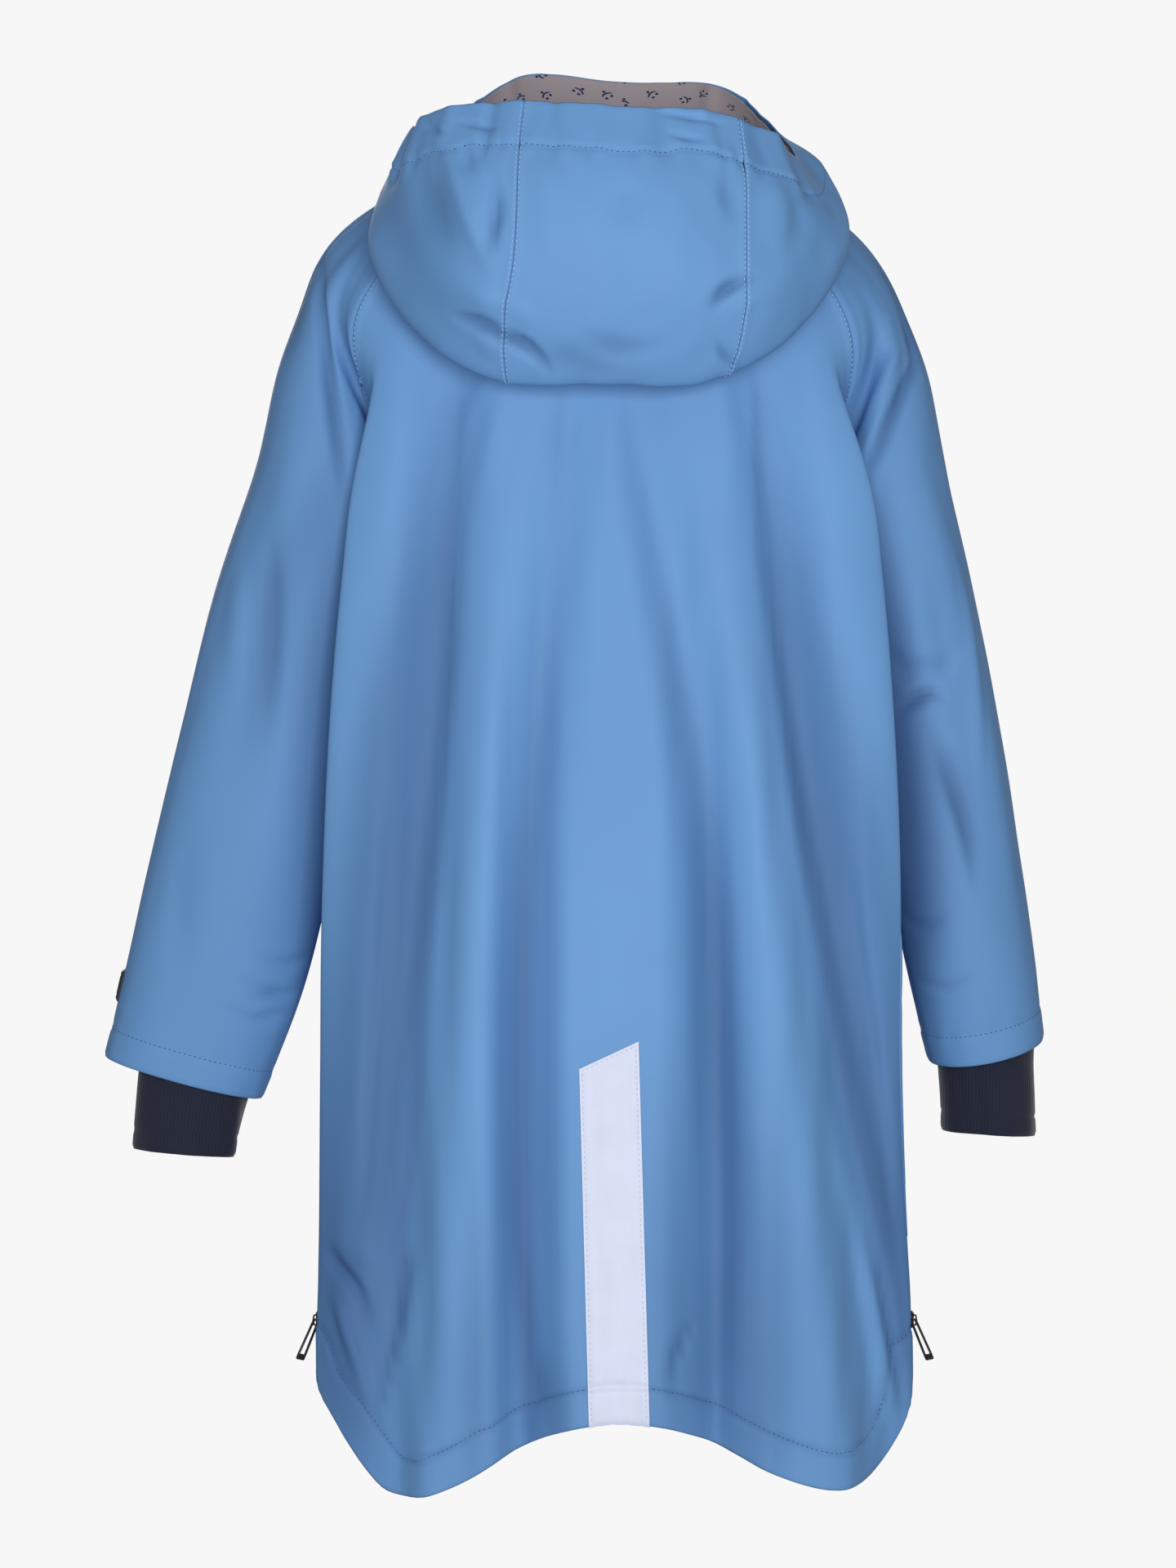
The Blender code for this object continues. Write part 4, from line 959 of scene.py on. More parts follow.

# Painted shade down in the back's falls.
BACK_SHADES = (
    # the outer falls: a broad side and the line down their inner edge
    (0.6, (104, -100, 6, 0), (107, -150, 14, 50), (110, -190, 22, 36), (115, -255, 32, 36),
     (120, -331, 40, 36), (127, -407, 47, 38), (133, -484, 53, 48), (137, -560, 58, 52),
     (141, -647, 60, 60), (148, -734, 62, 66), (153, -799, 62, 70), (160, -860, 56, 60),
     (166, -960, 50, 20)),
    (0.3, (106, -110, 5, 0), (110, -190, 8, 40), (115, -255, 9, 36), (115, -331, 9, 34), (121, -407, 9, 24),
     (126, -484, 10, 30), (131, -560, 10, 30), (137, -647, 10, 36), (147, -734, 10, 40),
     (151, -799, 10, 36), (154, -860, 10, 20), (158, -900, 8, 0)),
    (-0.6, (-100, -105, 6, 0), (-102, -155, 14, 50), (-103, -190, 20, 34), (-108, -255, 24, 30),
     (-118, -331, 26, 28), (-126, -407, 30, 42), (-140, -484, 32, 50), (-148, -560, 36, 56),
     (-160, -647, 38, 64), (-182, -734, 38, 70), (-198, -799, 34, 74), (-210, -870, 28, 60)),
    (-0.3, (-99, -110, 5, 0), (-103, -190, 8, 40), (-112, -255, 8, 34), (-118, -331, 9, 34),
     (-127, -407, 9, 34), (-138, -484, 10, 34), (-153, -560, 10, 40), (-169, -647, 11, 56),
     (-190, -734, 11, 60), (-203, -799, 10, 50), (-212, -860, 8, 20)),
    # the two middle falls: a soft hollow and the line down its middle
    (0, (30, -120, 14, 0), (34, -190, 14, 20), (39, -255, 16, 26), (47, -331, 18, 30), (54, -407, 20, 36),
     (61, -484, 21, 44), (64, -560, 22, 48), (64, -647, 22, 54), (64, -734, 23, 66), (62, -799, 24, 74),
     (56, -860, 30, 78), (54, -960, 24, 30)),
    (0, (36, -780, 10, 0), (34, -830, 14, 22), (33, -880, 14, 34), (33, -950, 12, 10)),
    (0, (50, -350, 8, 0), (56, -430, 10, 20), (61, -520, 10, 32), (64, -640, 10, 36), (64, -740, 10, 56),
     (60, -800, 10, 80), (58, -870, 12, 66), (54, -940, 12, 20)),
    (0.15, (-10, -120, 14, 0), (-15, -190, 16, 30), (-26, -255, 18, 32), (-42, -331, 21, 34),
     (-58, -407, 25, 40), (-67, -484, 27, 46), (-73, -560, 30, 48), (-76, -647, 36, 52),
     (-80, -734, 44, 56), (-80, -799, 48, 68), (-76, -850, 48, 70), (-72, -960, 36, 30)),
    (0, (-54, -380, 8, 0), (-64, -450, 10, 20), (-71, -530, 11, 30), (-76, -640, 13, 32),
     (-78, -740, 16, 38), (-73, -830, 20, 46), (-70, -920, 16, 20)),
    # broad deeper places on both sides of the middle falls and at the foot
    (0, (-36, -580, 16, 0), (-38, -680, 26, 20), (-38, -780, 28, 26), (-36, -880, 26, 24),
     (-36, -960, 20, 10)),
    (0, (-104, -580, 16, 0), (-108, -680, 26, 22), (-110, -780, 30, 34), (-106, -860, 30, 46),
     (-102, -960, 24, 20)),
    (0, (90, -680, 14, 0), (94, -760, 22, 20), (96, -860, 26, 32), (96, -960, 22, 15)),
    (0, (212, -480, 16, 0), (212, -600, 24, 20), (206, -720, 32, 42), (190, -810, 36, 68),
     (184, -880, 34, 62), (180, -960, 30, 20)),
    (0, (-214, -560, 14, 0), (-215, -680, 18, 22), (-213, -790, 20, 40), (-208, -880, 20, 30)),
    (0.35, (142, -735, 3, 0), (147, -762, 5, 40), (152, -808, 5, 45), (161, -850, 5, 40),
     (168, -882, 3, 0)),
    (-0.35, (-188, -745, 3, 0), (-191, -775, 6, 40), (-201, -836, 6, 50), (-210, -882, 4, 0)),
    (0.3, (-58, -790, 3, 0), (-52, -802, 5, 30), (-43, -823, 6, 40), (-40, -846, 4, 0)),
    # the pinch beside the left vent
    (0, (205, -735, 10, 0), (196, -758, 14, 45), (178, -762, 14, 30), (168, -790, 12, 0)),
)

FRONT_CREASES = (
    (0.1, (96, -170, 14, 0), (104, -320, 18, -3), (114, -500, 20, -4), (126, -680, 20, -4),
     (134, -840, 16, -1)),
    (0, (16, -240, 14, 0), (26, -400, 18, -2.6), (30, -600, 20, -3.6), (34, -800, 18, -1.2)),
    (-0.1, (-84, -190, 14, 0), (-94, -340, 18, -2.8), (-104, -520, 20, -4), (-114, -700, 20, -3.6),
     (-120, -840, 16, -1)),
    (0, (60, -280, 18, 0), (68, -460, 22, 2.6), (78, -660, 20, 2.8), (86, -840, 16, 0)),
    (0, (-36, -260, 18, 0), (-40, -440, 22, 2.2), (-44, -660, 20, 3), (-50, -860, 16, 0)),
    (0, (-150, -460, 10, 0), (-160, -560, 14, -2.6), (-170, -700, 12, -2.4), (-178, -800, 8, 0)),
    (0, (196, -740, 6, 0), (182, -770, 10, -2.8), (170, -810, 10, 0)),
)

PANELS = {      # creases, painted shades, size of the broad waves and their seed, weight of the troughs' painted shade, painted shade at the foot
    "back": (BACK_CREASES, BACK_SHADES, (0.16, 0.42), 11, 1.0, 0.16),
    "front": (FRONT_CREASES, (), (0.15, 0.40), 21, 1.4, 0.0),
}
BROAD_WAVES, SMALL_WAVES = 0.0010, 0.00035      # heights of the panels' waves
SMALL_WAVE_SIZE = (0.045, 0.16)
PANEL_WIDTH, SLEEVE_WIDTH = 0.62, 0.24          # metres that the fine columns are spread over
PANEL_LAST_ROWS = (0.0075, 0.0045, 0.0020, 0.0)     # close to the hem; 1 is underarm to hem
SLEEVE_LAST_ROWS = (0.0120, 0.0070, 0.0030, 0.0)


def panel_sheet(face):
    """Front or back panel without its creases."""
    half = np.concatenate([np.linspace(0, 0.9, 19)[1:], [0.95, 1.0]])
    places = np.concatenate([-half[::-1], [0.0], half])
    coarse = sampled(lambda place, v: panel_point(face, place, v), places, levels(17, 25))
    sheet = coarse.refined(graded(130, -1.0, 1.0, PANEL_WIDTH), levels(64, 168, PANEL_LAST_ROWS))
    if face == "front":
        sheet.turn_over()
    return sheet


def hem_relief(sheet):
    """Folded hem of a panel; it narrows at the side vents, where it turns into their facings."""
    across, _ = sheet.distances()
    foot = sheet.points[-1]
    rest = np.full(sheet.points.shape[:2], 1.0)     # distance from the lower edge, near it
    gaps = np.linalg.norm(sheet.points[-60:, :, None] - foot[None, None, ::2], axis=3)
    rest[-60:] = gaps.min(axis=2)
    rest[-1] = 0.0
    sheet.rest = rest
    sheet.hem_depth = HEM_DEPTH * (1 - 0.75 * smooth(0.80, 0.995, np.abs(sheet.across)))
    pucker = waves(across, rest * 0, 0.020, 1.0, 5) * 0.6 + waves(across, rest * 0, 0.009, 1.0, 6) * 0.4
    # painted shade along the dip of the hem's stitches
    sheet.shade = layered(sheet.shade, 0.30 * bell(rest - sheet.hem_depth, HEM_LINE))
    return folded_hem(rest, sheet.hem_depth, pucker, raised=0.0008, drawn=0.0012,
                      puckered=0.0008, reach=0.012, worn=0.0009)


def build_panel(face):
    """Front or back panel with its falls, raglan seams and hem."""
    table, shades, wave, seed, troughs, foot = PANELS[face]
    sheet = panel_sheet(face)
    x, _, z = sheet.axes()
    height = creases(x, z, table)
    height += waves(x, z, *wave, seed) * BROAD_WAVES
    height += waves(x, z, *SMALL_WAVE_SIZE, seed + 1) * SMALL_WAVES
    height *= smooth(0.0, 0.03, sheet.distances()[1]) * (1 - smooth(0.93, 1.0, np.abs(sheet.across)))
    # painted shade down in the falls and troughs, and darker towards the foot, where less light falls
    sheet.shade = layered(fall_shade(x, z, shades, height * troughs), foot * smooth(-0.58, -0.80, z))
    sheet.push(height)
    sheet.push(seam_profile(sheet.edge_distance()))
    sheet.push(hem_relief(sheet))
    return sheet


# ---------------------------------------------------------------- sleeves
# Sleeve creases by place: the path's first numbers are the turn, whose back
# half is under 0.5, and v.  Half width and height are in millimetres.
SLEEVE_ROUND, SLEEVE_LONG = 0.26, 0.44      # metres round a sleeve, and along it for each 1 of v
SLEEVE_SEEDS = {"left": 31, "right": 41}
SLEEVE_RADIUS = 0.07                # about how wide the waves take a sleeve to be
HOLLOW, HOLLOW_Z, HOLLOW_REACH = 0.0070, -0.070, 0.042      # hollow outside, below the shoulder
SLEEVE_CREASES = {
    "left": (
        (0.1, (0.16, 0.3, 16, 0), (0.1, 0.6, 20, -5), (0.07, 0.95, 18, -4.5), (0.06, 1.25, 14, -1.5)),
        (0, (0.22, 0.22, 18, 0), (0.2, 0.55, 24, 3), (0.17, 0.95, 26, 3), (0.18, 1.35, 22, 0)),
        (0, (0.3, 0.75, 16, 0), (0.27, 1.05, 24, -3.5), (0.28, 1.35, 24, -3.5), (0.31, 1.62, 16, 0)),
        (0, (0.02, 1.7, 7, 0), (0.12, 1.74, 9, -2.6), (0.2, 1.73, 7, 0)),
        (0, (0.02, 1.78, 7, 0), (0.1, 1.8, 9, -3), (0.22, 1.79, 7, 0)),
        (0, (0.04, 1.84, 6, 0), (0.14, 1.86, 8, -2), (0.24, 1.84, 6, 0)),
        (0, (0.36, 1.5, 12, 0), (0.33, 1.7, 14, -2), (0.3, 1.9, 12, 0)),
        (0, (0.66, 0.8, 18, 0), (0.7, 1.1, 24, -4), (0.68, 1.45, 20, 0)),
        (0, (0.8, 1.05, 14, 0), (0.74, 1.22, 16, -3.4), (0.66, 1.32, 12, 0)),
        (0, (0.9, 1.66, 8, 0), (0.82, 1.71, 10, -2.6), (0.74, 1.7, 8, 0)),
    ),
    "right": (
        (0.1, (0.12, 0.42, 12, 0), (0.14, 0.62, 18, -5.5), (0.1, 0.85, 20, -7.5), (0.06, 1.1, 16, -4),
         (0.05, 1.25, 12, 0)),
        (0, (0.22, 0.46, 12, 0), (0.24, 0.7, 18, 4), (0.2, 0.98, 20, 5), (0.15, 1.22, 18, 0)),
        (0, (0.4, 0.36, 12, 0), (0.38, 0.6, 14, -2.6), (0.36, 0.82, 12, 0)),
        (0.2, (0.16, 1.22, 10, 0), (0.22, 1.28, 14, -3.4), (0.3, 1.28, 12, -3), (0.35, 1.24, 9, 0)),
        (0, (0.3, 1.1, 12, 0), (0.26, 1.22, 14, 2.4), (0.24, 1.4, 12, 0)),
        (0, (0.33, 0.8, 14, 0), (0.36, 1.1, 18, 3), (0.38, 1.5, 18, 3), (0.4, 1.8, 14, 0)),
        (0, (0.04, 1.66, 8, 0), (0.14, 1.69, 10, -2.4), (0.22, 1.66, 7, 0)),
        (0, (0.06, 1.8, 7, 0), (0.16, 1.82, 9, -2.2), (0.26, 1.8, 7, 0)),
        (0, (0.62, 0.8, 18, 0), (0.66, 1.1, 24, -4), (0.64, 1.45, 20, 0)),
        (0, (0.82, 1.02, 14, 0), (0.75, 1.18, 16, -3.4), (0.66, 1.26, 12, 0)),
        (0, (0.88, 1.62, 8, 0), (0.8, 1.68, 10, -2.6), (0.72, 1.66, 8, 0)),
    ),
}
# Folds on the sleeves' back, placed like the body's.
SLEEVE_FOLDS = {
    "left": (
        (0.3, (213, -20, 5, 0), (211, -37, 7, -3), (205, -106, 8, -5), (195, -175, 8, -4),
         (191, -228, 6, 0)),
        (0, (246, -220, 8, 0), (244, -280, 12, -2.6), (245, -340, 12, -2.6), (248, -420, 9, 0)),
        (0, (270, -240, 10, 0), (270, -300, 14, 2.2), (276, -380, 12, 0)),
        (0, (266, -578, 3, 0), (250, -574, 5, -2.6), (232, -572, 4, 0)),
        (0, (264, -592, 3, 0), (248, -588, 5, -2.6), (230, -586, 4, 0)),
    ),
    "right": (
        (-0.35, (-226, -108, 4, 0), (-220, -116, 7, -4.2), (-207, -138, 9, -5.5), (-187, -187, 8, -3.5),
         (-182, -210, 5, 0)),
        (0, (-216, -96, 6, 0), (-204, -112, 9, 3), (-188, -146, 9, 2.8), (-180, -170, 6, 0)),
        (0.3, (-200, -370, 5, 0), (-210, -362, 7, -3.6), (-224, -353, 8, -4.6), (-236, -354, 6, -3.4),
         (-243, -359, 4, 0)),
        (-0.3, (-226, -376, 6, 0), (-240, -410, 10, -3.2), (-256, -460, 10, -3.4), (-262, -505, 7, 0)),
        (0, (-238, -226, 4, 0), (-254, -284, 6, 2.2), (-262, -370, 6, 2.4), (-264, -440, 4, 0)),
    ),
}
# Painted shade beside the body, between it and the sleeve, and down in the folds.
SLEEVE_SHADES = {
    "left": (
        (0, (206, -150, 10, 0), (196, -228, 22, 34), (208, -328, 30, 44), (214, -440, 32, 46),
         (220, -540, 26, 34), (228, -600, 16, 0)),
        (0.3, (212, -30, 4, 0), (208, -80, 7, 40), (202, -130, 9, 50), (194, -190, 9, 45),
         (190, -240, 6, 0)),
        (0, (240, -140, 14, 0), (244, -230, 20, 20), (250, -340, 18, 24), (256, -450, 14, 0)),
    ),
    "right": (
        (0, (-184, -170, 10, 0), (-190, -220, 18, 60), (-198, -300, 26, 76), (-208, -380, 32, 90),
         (-216, -470, 38, 94), (-222, -540, 32, 90), (-230, -610, 18, 30)),
        (-0.35, (-224, -110, 3, 0), (-216, -124, 6, 55), (-204, -144, 8, 60), (-188, -186, 8, 60),
         (-183, -210, 6, 0)),
        (0.3, (-200, -374, 6, 0), (-212, -366, 9, 55), (-226, -357, 9, 60), (-242, -362, 5, 0)),
        (-0.3, (-224, -372, 8, 0), (-238, -410, 16, 46), (-254, -462, 14, 46), (-262, -510, 8, 0)),
    ),
}


def sleeve_height(side, x, z, turn, v):
    """Height of a sleeve's creases and folds."""
    height = 0.0
    for skew, *path in SLEEVE_CREASES[side]:
        path = [(a * SLEEVE_ROUND / MM, b * SLEEVE_LONG / MM, w, h) for a, b, w, h in path]
        height += crease(turn * SLEEVE_ROUND, v * SLEEVE_LONG, path, skew)
    around = turn * 2 * math.pi
    seed = SLEEVE_SEEDS[side]
    height += waves(np.cos(around) * SLEEVE_RADIUS, v * 0.4, 0.10, 0.26, seed) * 0.0011
    height += waves(np.sin(around) * SLEEVE_RADIUS, v * 0.4, 0.04, 0.09, seed + 1) * 0.0005
    height *= smooth(0.0, 0.08, v) * np.minimum(smooth(0, 0.04, turn), smooth(0, 0.04, 1 - turn))
    behind = smooth(0.50, 0.42, turn) * smooth(0.0, 0.03, turn)
    outer = smooth(0.26, 0.44, turn) * smooth(0.74, 0.58, turn)
    height += creases(x, z, SLEEVE_FOLDS[side]) * behind
    return height - HOLLOW * bell(z - HOLLOW_Z, HOLLOW_REACH) * outer


def build_sleeve(side):
    """One raglan sleeve: open above the underarm, a tube below."""
    coarse = sampled(lambda turn, v: sleeve_point(side, turn, v), np.linspace(0, 1, 29), levels(17, 19))
    along = levels(72, 118, SLEEVE_LAST_ROWS)
    sheet = coarse.refined(graded(84, 0.0, 1.0, SLEEVE_WIDTH), along)
    sheet.joined_from = int(np.argmax(along >= 1 - 1e-9))
    sheet.join()
    turn, v = np.meshgrid(sheet.across, sheet.along)
    if side == "right":
        sheet.turn_over()
        turn = turn[:, ::-1]
    x, _, z = sheet.axes()
    height = sleeve_height(side, x, z, turn, v)
    # painted shade beside the body and in the back's folds, in the sleeve's own troughs, and a little over
    # the whole sleeve, which turns away from the light
    placed = fall_shade(x, z, SLEEVE_SHADES[side], height * 0) * smooth(0.50, 0.40, turn)
    sheet.shade = layered(fall_shade(x, z, (), height), placed, 0.18)
    sheet.push(height)
    across, rest = sheet.distances()[0], sheet.foot_distance()
    sheet.push(seam_profile(sheet.edge_distance()) * np.where(v > 1.02, 0.7, 1.0))
    pucker = waves(across, rest * 0, 0.022, 1.0, SLEEVE_SEEDS[side] + 2)
    sheet.push(folded_hem(rest, SLEEVE_HEM, pucker, raised=0.0005, drawn=0.0008,
                          puckered=0.0005, reach=0.010, worn=0.0008))
    return sheet


# ---------------------------------------------------------------- hood
# Hood creases on its hanging bag, placed like the body's.
HOOD_CREASES = (
    # the pinch over the left seam
    (0.35, (114, -92, 4, 0), (106, -96, 6, -4.2), (90, -101, 8, -6.6), (76, -108, 8, -7),
     (64, -114, 8, -6.6), (53, -121, 7, -5.6), (46, -130, 6, -4.4), (42, -140, 5, 0)),
    (0, (110, -76, 10, 0), (90, -84, 14, 3.6), (66, -95, 13, 3.4), (48, -108, 9, 0)),
    (0, (100, -106, 8, 0), (82, -118, 12, 3), (64, -128, 9, 0)),
    # folds down from the left gathers
    (0.3, (88, 12, 6, 0), (79, -18, 9, -4.6), (82, -40, 10, -5.6), (86, -60, 9, 0)),
    (0, (122, 30, 8, 0), (112, 4, 14, 3.6), (100, -26, 20, 4), (94, -56, 14, 0)),
    (0.2, (140, 26, 8, 0), (130, -6, 14, -3.6), (120, -40, 16, -3.4), (110, -74, 11, 0)),
    (0, (104, 30, 6, 0), (101, 14, 7, -3.6), (99, -4, 6, 0)),
    # the centre panel
    (0, (52, 20, 10, 0), (44, -10, 20, 2.4), (40, -50, 20, 2), (44, -85, 12, 0)),
    (0, (4, 4, 10, 0), (-8, -20, 18, -2.6), (-14, -46, 14, 0)),
    (0, (28, -104, 8, 0), (12, -116, 12, -3), (-16, -120, 12, -2.6), (-44, -116, 8, 0)),
    # small folds by the right seam
    (0, (-82, 14, 8, 0), (-80, -12, 12, -3), (-88, -36, 9, 0)),
    (0.3, (-102, -66, 5, 0), (-90, -73, 7, -5.2), (-76, -83, 7, -5), (-66, -98, 6, 0)),
    (0, (-106, -80, 6, 0), (-92, -88, 9, 2.6), (-80, -98, 7, 0)),
    (0, (-70, -112, 5, 0), (-80, -124, 7, -4.4), (-94, -130, 5, 0)),
    (0, (-118, 20, 10, 0), (-114, -10, 16, 3), (-110, -50, 14, 0)),
    (0, (-132, 2, 8, 0), (-130, -30, 12, -2.8), (-120, -60, 10, 0)),
    # wrinkles along the casing
    (0.2, (110, 44, 2, 0), (103, 41, 4, -3.4), (94, 38, 4, -3.6), (84, 36, 3, -2), (75, 35, 2, 0)),
    (0.2, (132, 46, 2, 0), (128, 41, 4, -3.2), (121, 35, 3, -2.4), (115, 31, 2, 0)),
    (0, (-24, 47, 3, 0), (-45, 44, 4, -2.6), (-66, 41, 4, -2.6), (-82, 38, 3, 0)),
    (0, (-34, 31, 3, 0), (-50, 28, 4, -2.8), (-68, 25, 3, 0)),
    (0, (-60, 20, 2, 0), (-72, 17, 3, -2), (-84, 16, 2, 0)),
)
# Painted shade on the hood: its two flanks, turned away from the light, and the hollows of its folds.
HOOD_SHADES = (
    (0, (152, 12, 16, 0), (146, -26, 30, 42), (128, -66, 34, 46), (100, -108, 24, 36), (78, -134, 14, 0)),
    (0, (-132, 4, 14, 0), (-144, -30, 26, 22), (-128, -70, 26, 28), (-104, -112, 18, 20),
     (-84, -134, 12, 0)),
    (0, (60, -106, 10, 0), (34, -122, 16, 34), (-4, -126, 16, 22), (-40, -122, 10, 0)),
    (0.3, (112, -93, 4, 0), (98, -100, 5, 60), (76, -110, 6, 70), (60, -118, 6, 70), (50, -126, 5, 60),
     (44, -137, 4, 0)),
    (0.55, (122, 32, 6, 0), (112, -2, 11, 34), (103, -34, 13, 40), (92, -60, 12, 30), (80, -84, 10, 0)),
    (0.3, (86, 0, 4, 0), (79, -22, 6, 34), (82, -44, 7, 40), (86, -60, 5, 0)),
    (0.3, (-104, -68, 4, 0), (-90, -75, 6, 50), (-76, -85, 6, 45), (-68, -98, 5, 0)),
    (0, (-70, -114, 4, 0), (-80, -126, 6, 45), (-94, -132, 5, 0)),
)
PUCKERS = (                         # gathers in the casing: angle, half width in degrees, height
    (-62, 3.0, 0.0008), (-52, 2.5, -0.0014), (-46, 2.0, 0.0020), (-38, 3.0, -0.0022),
    (-26, 2.0, 0.0014), (-14, 2.4, -0.0016), (-4, 3.0, 0.0014), (12, 2.0, -0.0014),
    (22, 1.6, 0.0020), (28, 1.6, -0.0024), (40, 2.0, 0.0014), (52, 2.6, 0.0026),
    (58, 2.2, -0.0032), (64, 2.2, 0.0030), (70, 2.4, -0.0026), (80, 3.0, 0.0020),
    (96, 3.5, -0.0022), (112, 3.0, 0.0018), (130, 4.0, -0.0018), (150, 4.0, 0.0016),
    (-76, 4.0, 0.0008), (-90, 3.0, -0.0003), (-104, 3.5, -0.0006), (-120, 3.0, 0.0010),
    (-140, 4.0, -0.0016), (-160, 4.0, 0.0014),
)
RIGHT_BEND, BEND_REACH = -72, 16    # angles of the rim's sharp bend, where the casing is pressed flat
NARROW_ANGLE, NARROW_T = -82, 0.64  # where the hanging bag is a narrow fold
PRINT_RADIUS, PRINT_LENGTH = 0.115, 0.24        # the print is laid out as on a tube of this size
HOOD_PANELS = {                     # fine and coarse columns, and the width they are spread over
    "hood_centre": (60, 15, 0.16),
    "hood_side_left": (118, 31, 0.36),
    "hood_side_right": (118, 31, 0.36),
}


def hood_relief(sheet, angle, t, lining=False):
    """Height of the hood's creases and of the gathers in its casing; the lining only goes in."""
    x, y, z = sheet.axes()
    from_rim = sheet.distances()[1]
    height = np.zeros(x.shape)
    behind = smooth(0.06, 0.10, y) * smooth(0.42, 0.50, t)
    for skew, *path in HOOD_CREASES:
        folded = crease(x, z, path, skew) * behind
        height += np.minimum(folded, 0) if lining else folded
    if not lining:
        height += waves(x, z, 0.09, 0.10, 51) * 0.0014 * smooth(0.05, 0.2, t)
        height += waves(x + y, z, 0.03, 0.05, 52) * 0.00045
    gather = np.zeros(x.shape)
    for centre, half, size in PUCKERS:
        gather += size * bell((angle - centre + 180) % 360 - 180, half)
    gather *= smooth(CASING + 0.022, CASING - 0.002, from_rim) * 0.9 + 0.1
    gather *= smooth(CASING + 0.034, CASING - 0.004, from_rim) * 1.25
    return height + (np.minimum(gather, 0) if lining else gather)


def casing_relief(angle, from_rim):
    """Height of the casing's stitch line, its puckers and its folded rim."""
    pucker = waves(angle, from_rim * 0, 7.0, 1.0, 61) + 0.6 * waves(angle, from_rim * 0, 3.0, 1.0, 62)
    relief = -0.0011 * bell(from_rim - CASING, 0.0018)
    relief += 0.0013 * pucker * bell(from_rim - CASING, 0.008)
    relief *= 1 - 0.85 * bell(angle - RIGHT_BEND, BEND_REACH)
    relief += 0.0004 * (1 - smooth(CASING - 0.003, CASING + 0.001, from_rim))
    return relief - 0.0005 * bell(from_rim, 0.0015)


def hood_edges(name, t):
    """Angles of a hood panel's two edges at place t up the hood."""
    right, left = seam_angle("right", t), seam_angle("left", t)
    edges = {"hood_side_right": (-180.0, right), "hood_centre": (right, left),
             "hood_side_left": (left, 180.0)}
    return edges[name]


def hood_sheet(name):
    """One hood panel: angles run across it; its rows run from the rim (-1) to the neckline (0)."""
    columns, coarse_columns, length = HOOD_PANELS[name]

    def point(u, row):
        low, high = hood_edges(name, -row)
        return hood_point(low + (high - low) * u, -row)

    coarse = sampled(point, np.linspace(0, 1, coarse_columns), np.linspace(-1, 0, 40))
    rows = np.concatenate([[0, 0.003, 0.007, 0.012], np.linspace(0.018, 1, 150)]) - 1
    sheet = coarse.refined(graded(columns, 0.0, 1.0, length), rows)
    low, high = np.array([hood_edges(name, -row) for row in rows]).T[..., None]
    angle = low + (high - low) * sheet.across
    t = np.repeat(-rows[:, None], len(sheet.across), axis=1)
    x, y, z = sheet.axes()
    height = hood_relief(sheet, angle, t)
    height *= 0.35 + 0.65 * smooth(0.0, 0.02, sheet.edge_distance())
    height *= smooth(0.0, 0.05, t)
    # painted shade on the hood's hanging back: its flanks and the hollows of its folds
    sheet.shade = fall_shade(x, z, HOOD_SHADES, height * 1.2) * smooth(0.05, 0.09, y) * 0.85
    sheet.push(height)
    from_rim = sheet.distances()[1]
    sheet.push(seam_profile(sheet.edge_distance(), half=0.0008, dip=-0.0003, ridge=0.0020))
    sheet.push(casing_relief(angle, from_rim))
    return sheet


def build_lining():
    """Lining tube inside the hood, from just below the rim to the neckline."""
    def tight(angle, t):            # in the narrow fold the lining lies close to the hood
        return bell(angle - NARROW_ANGLE, 18) * bell(t - NARROW_T, 0.15)

    def point(angle, row):
        inset = LINING_INSET + (LINING_TIGHT_INSET - LINING_INSET) * tight(angle, -row)
        return hood_point(angle, -row) + hood_normal(angle, -row) * float(inset)

    coarse = sampled(point, np.linspace(-180, 180, 61), -np.linspace(0.992, 0.02, 30), closed=True)
    sheet = coarse.refined(np.linspace(-180, 180, 241), -np.linspace(0.992, 0.02, 110))
    angle, t = np.meshgrid(sheet.across, -sheet.along)
    from_rim = sheet.distances()[1]
    sheet.print_places = (np.radians(angle) * PRINT_RADIUS, t * PRINT_LENGTH)
    height = hood_relief(sheet, angle, t, lining=True)
    height -= 0.0016 * bell(from_rim - CASING + 0.005, 0.010)
    right = np.exp(-((angle + 90) / 34) ** 4)
    height += 0.0018 * (1 - smooth(0.004, 0.020, from_rim)) * (1 - right)   # up to the rim
    height -= 0.0014 * right * smooth(0.0, 0.012, from_rim) * (1 - smooth(0.08, 0.12, from_rim))
    height += waves(np.cos(np.radians(angle)) * 0.1, t * 0.3, 0.06, 0.10, 71) * 0.0006 - 0.0010
    sheet.push(height * (1 - tight(angle, t)))
    return sheet


# ---------------------------------------------------------------- cuffs, tabs and strip
CUFF_RADIUS = 0.05                  # about how wide the waves take a cuff to be
CUFF_LINE = 0.014                   # height of the cuffs' stitched line above their mouth
CUFF_SEEDS = {"left": 81, "right": 85}


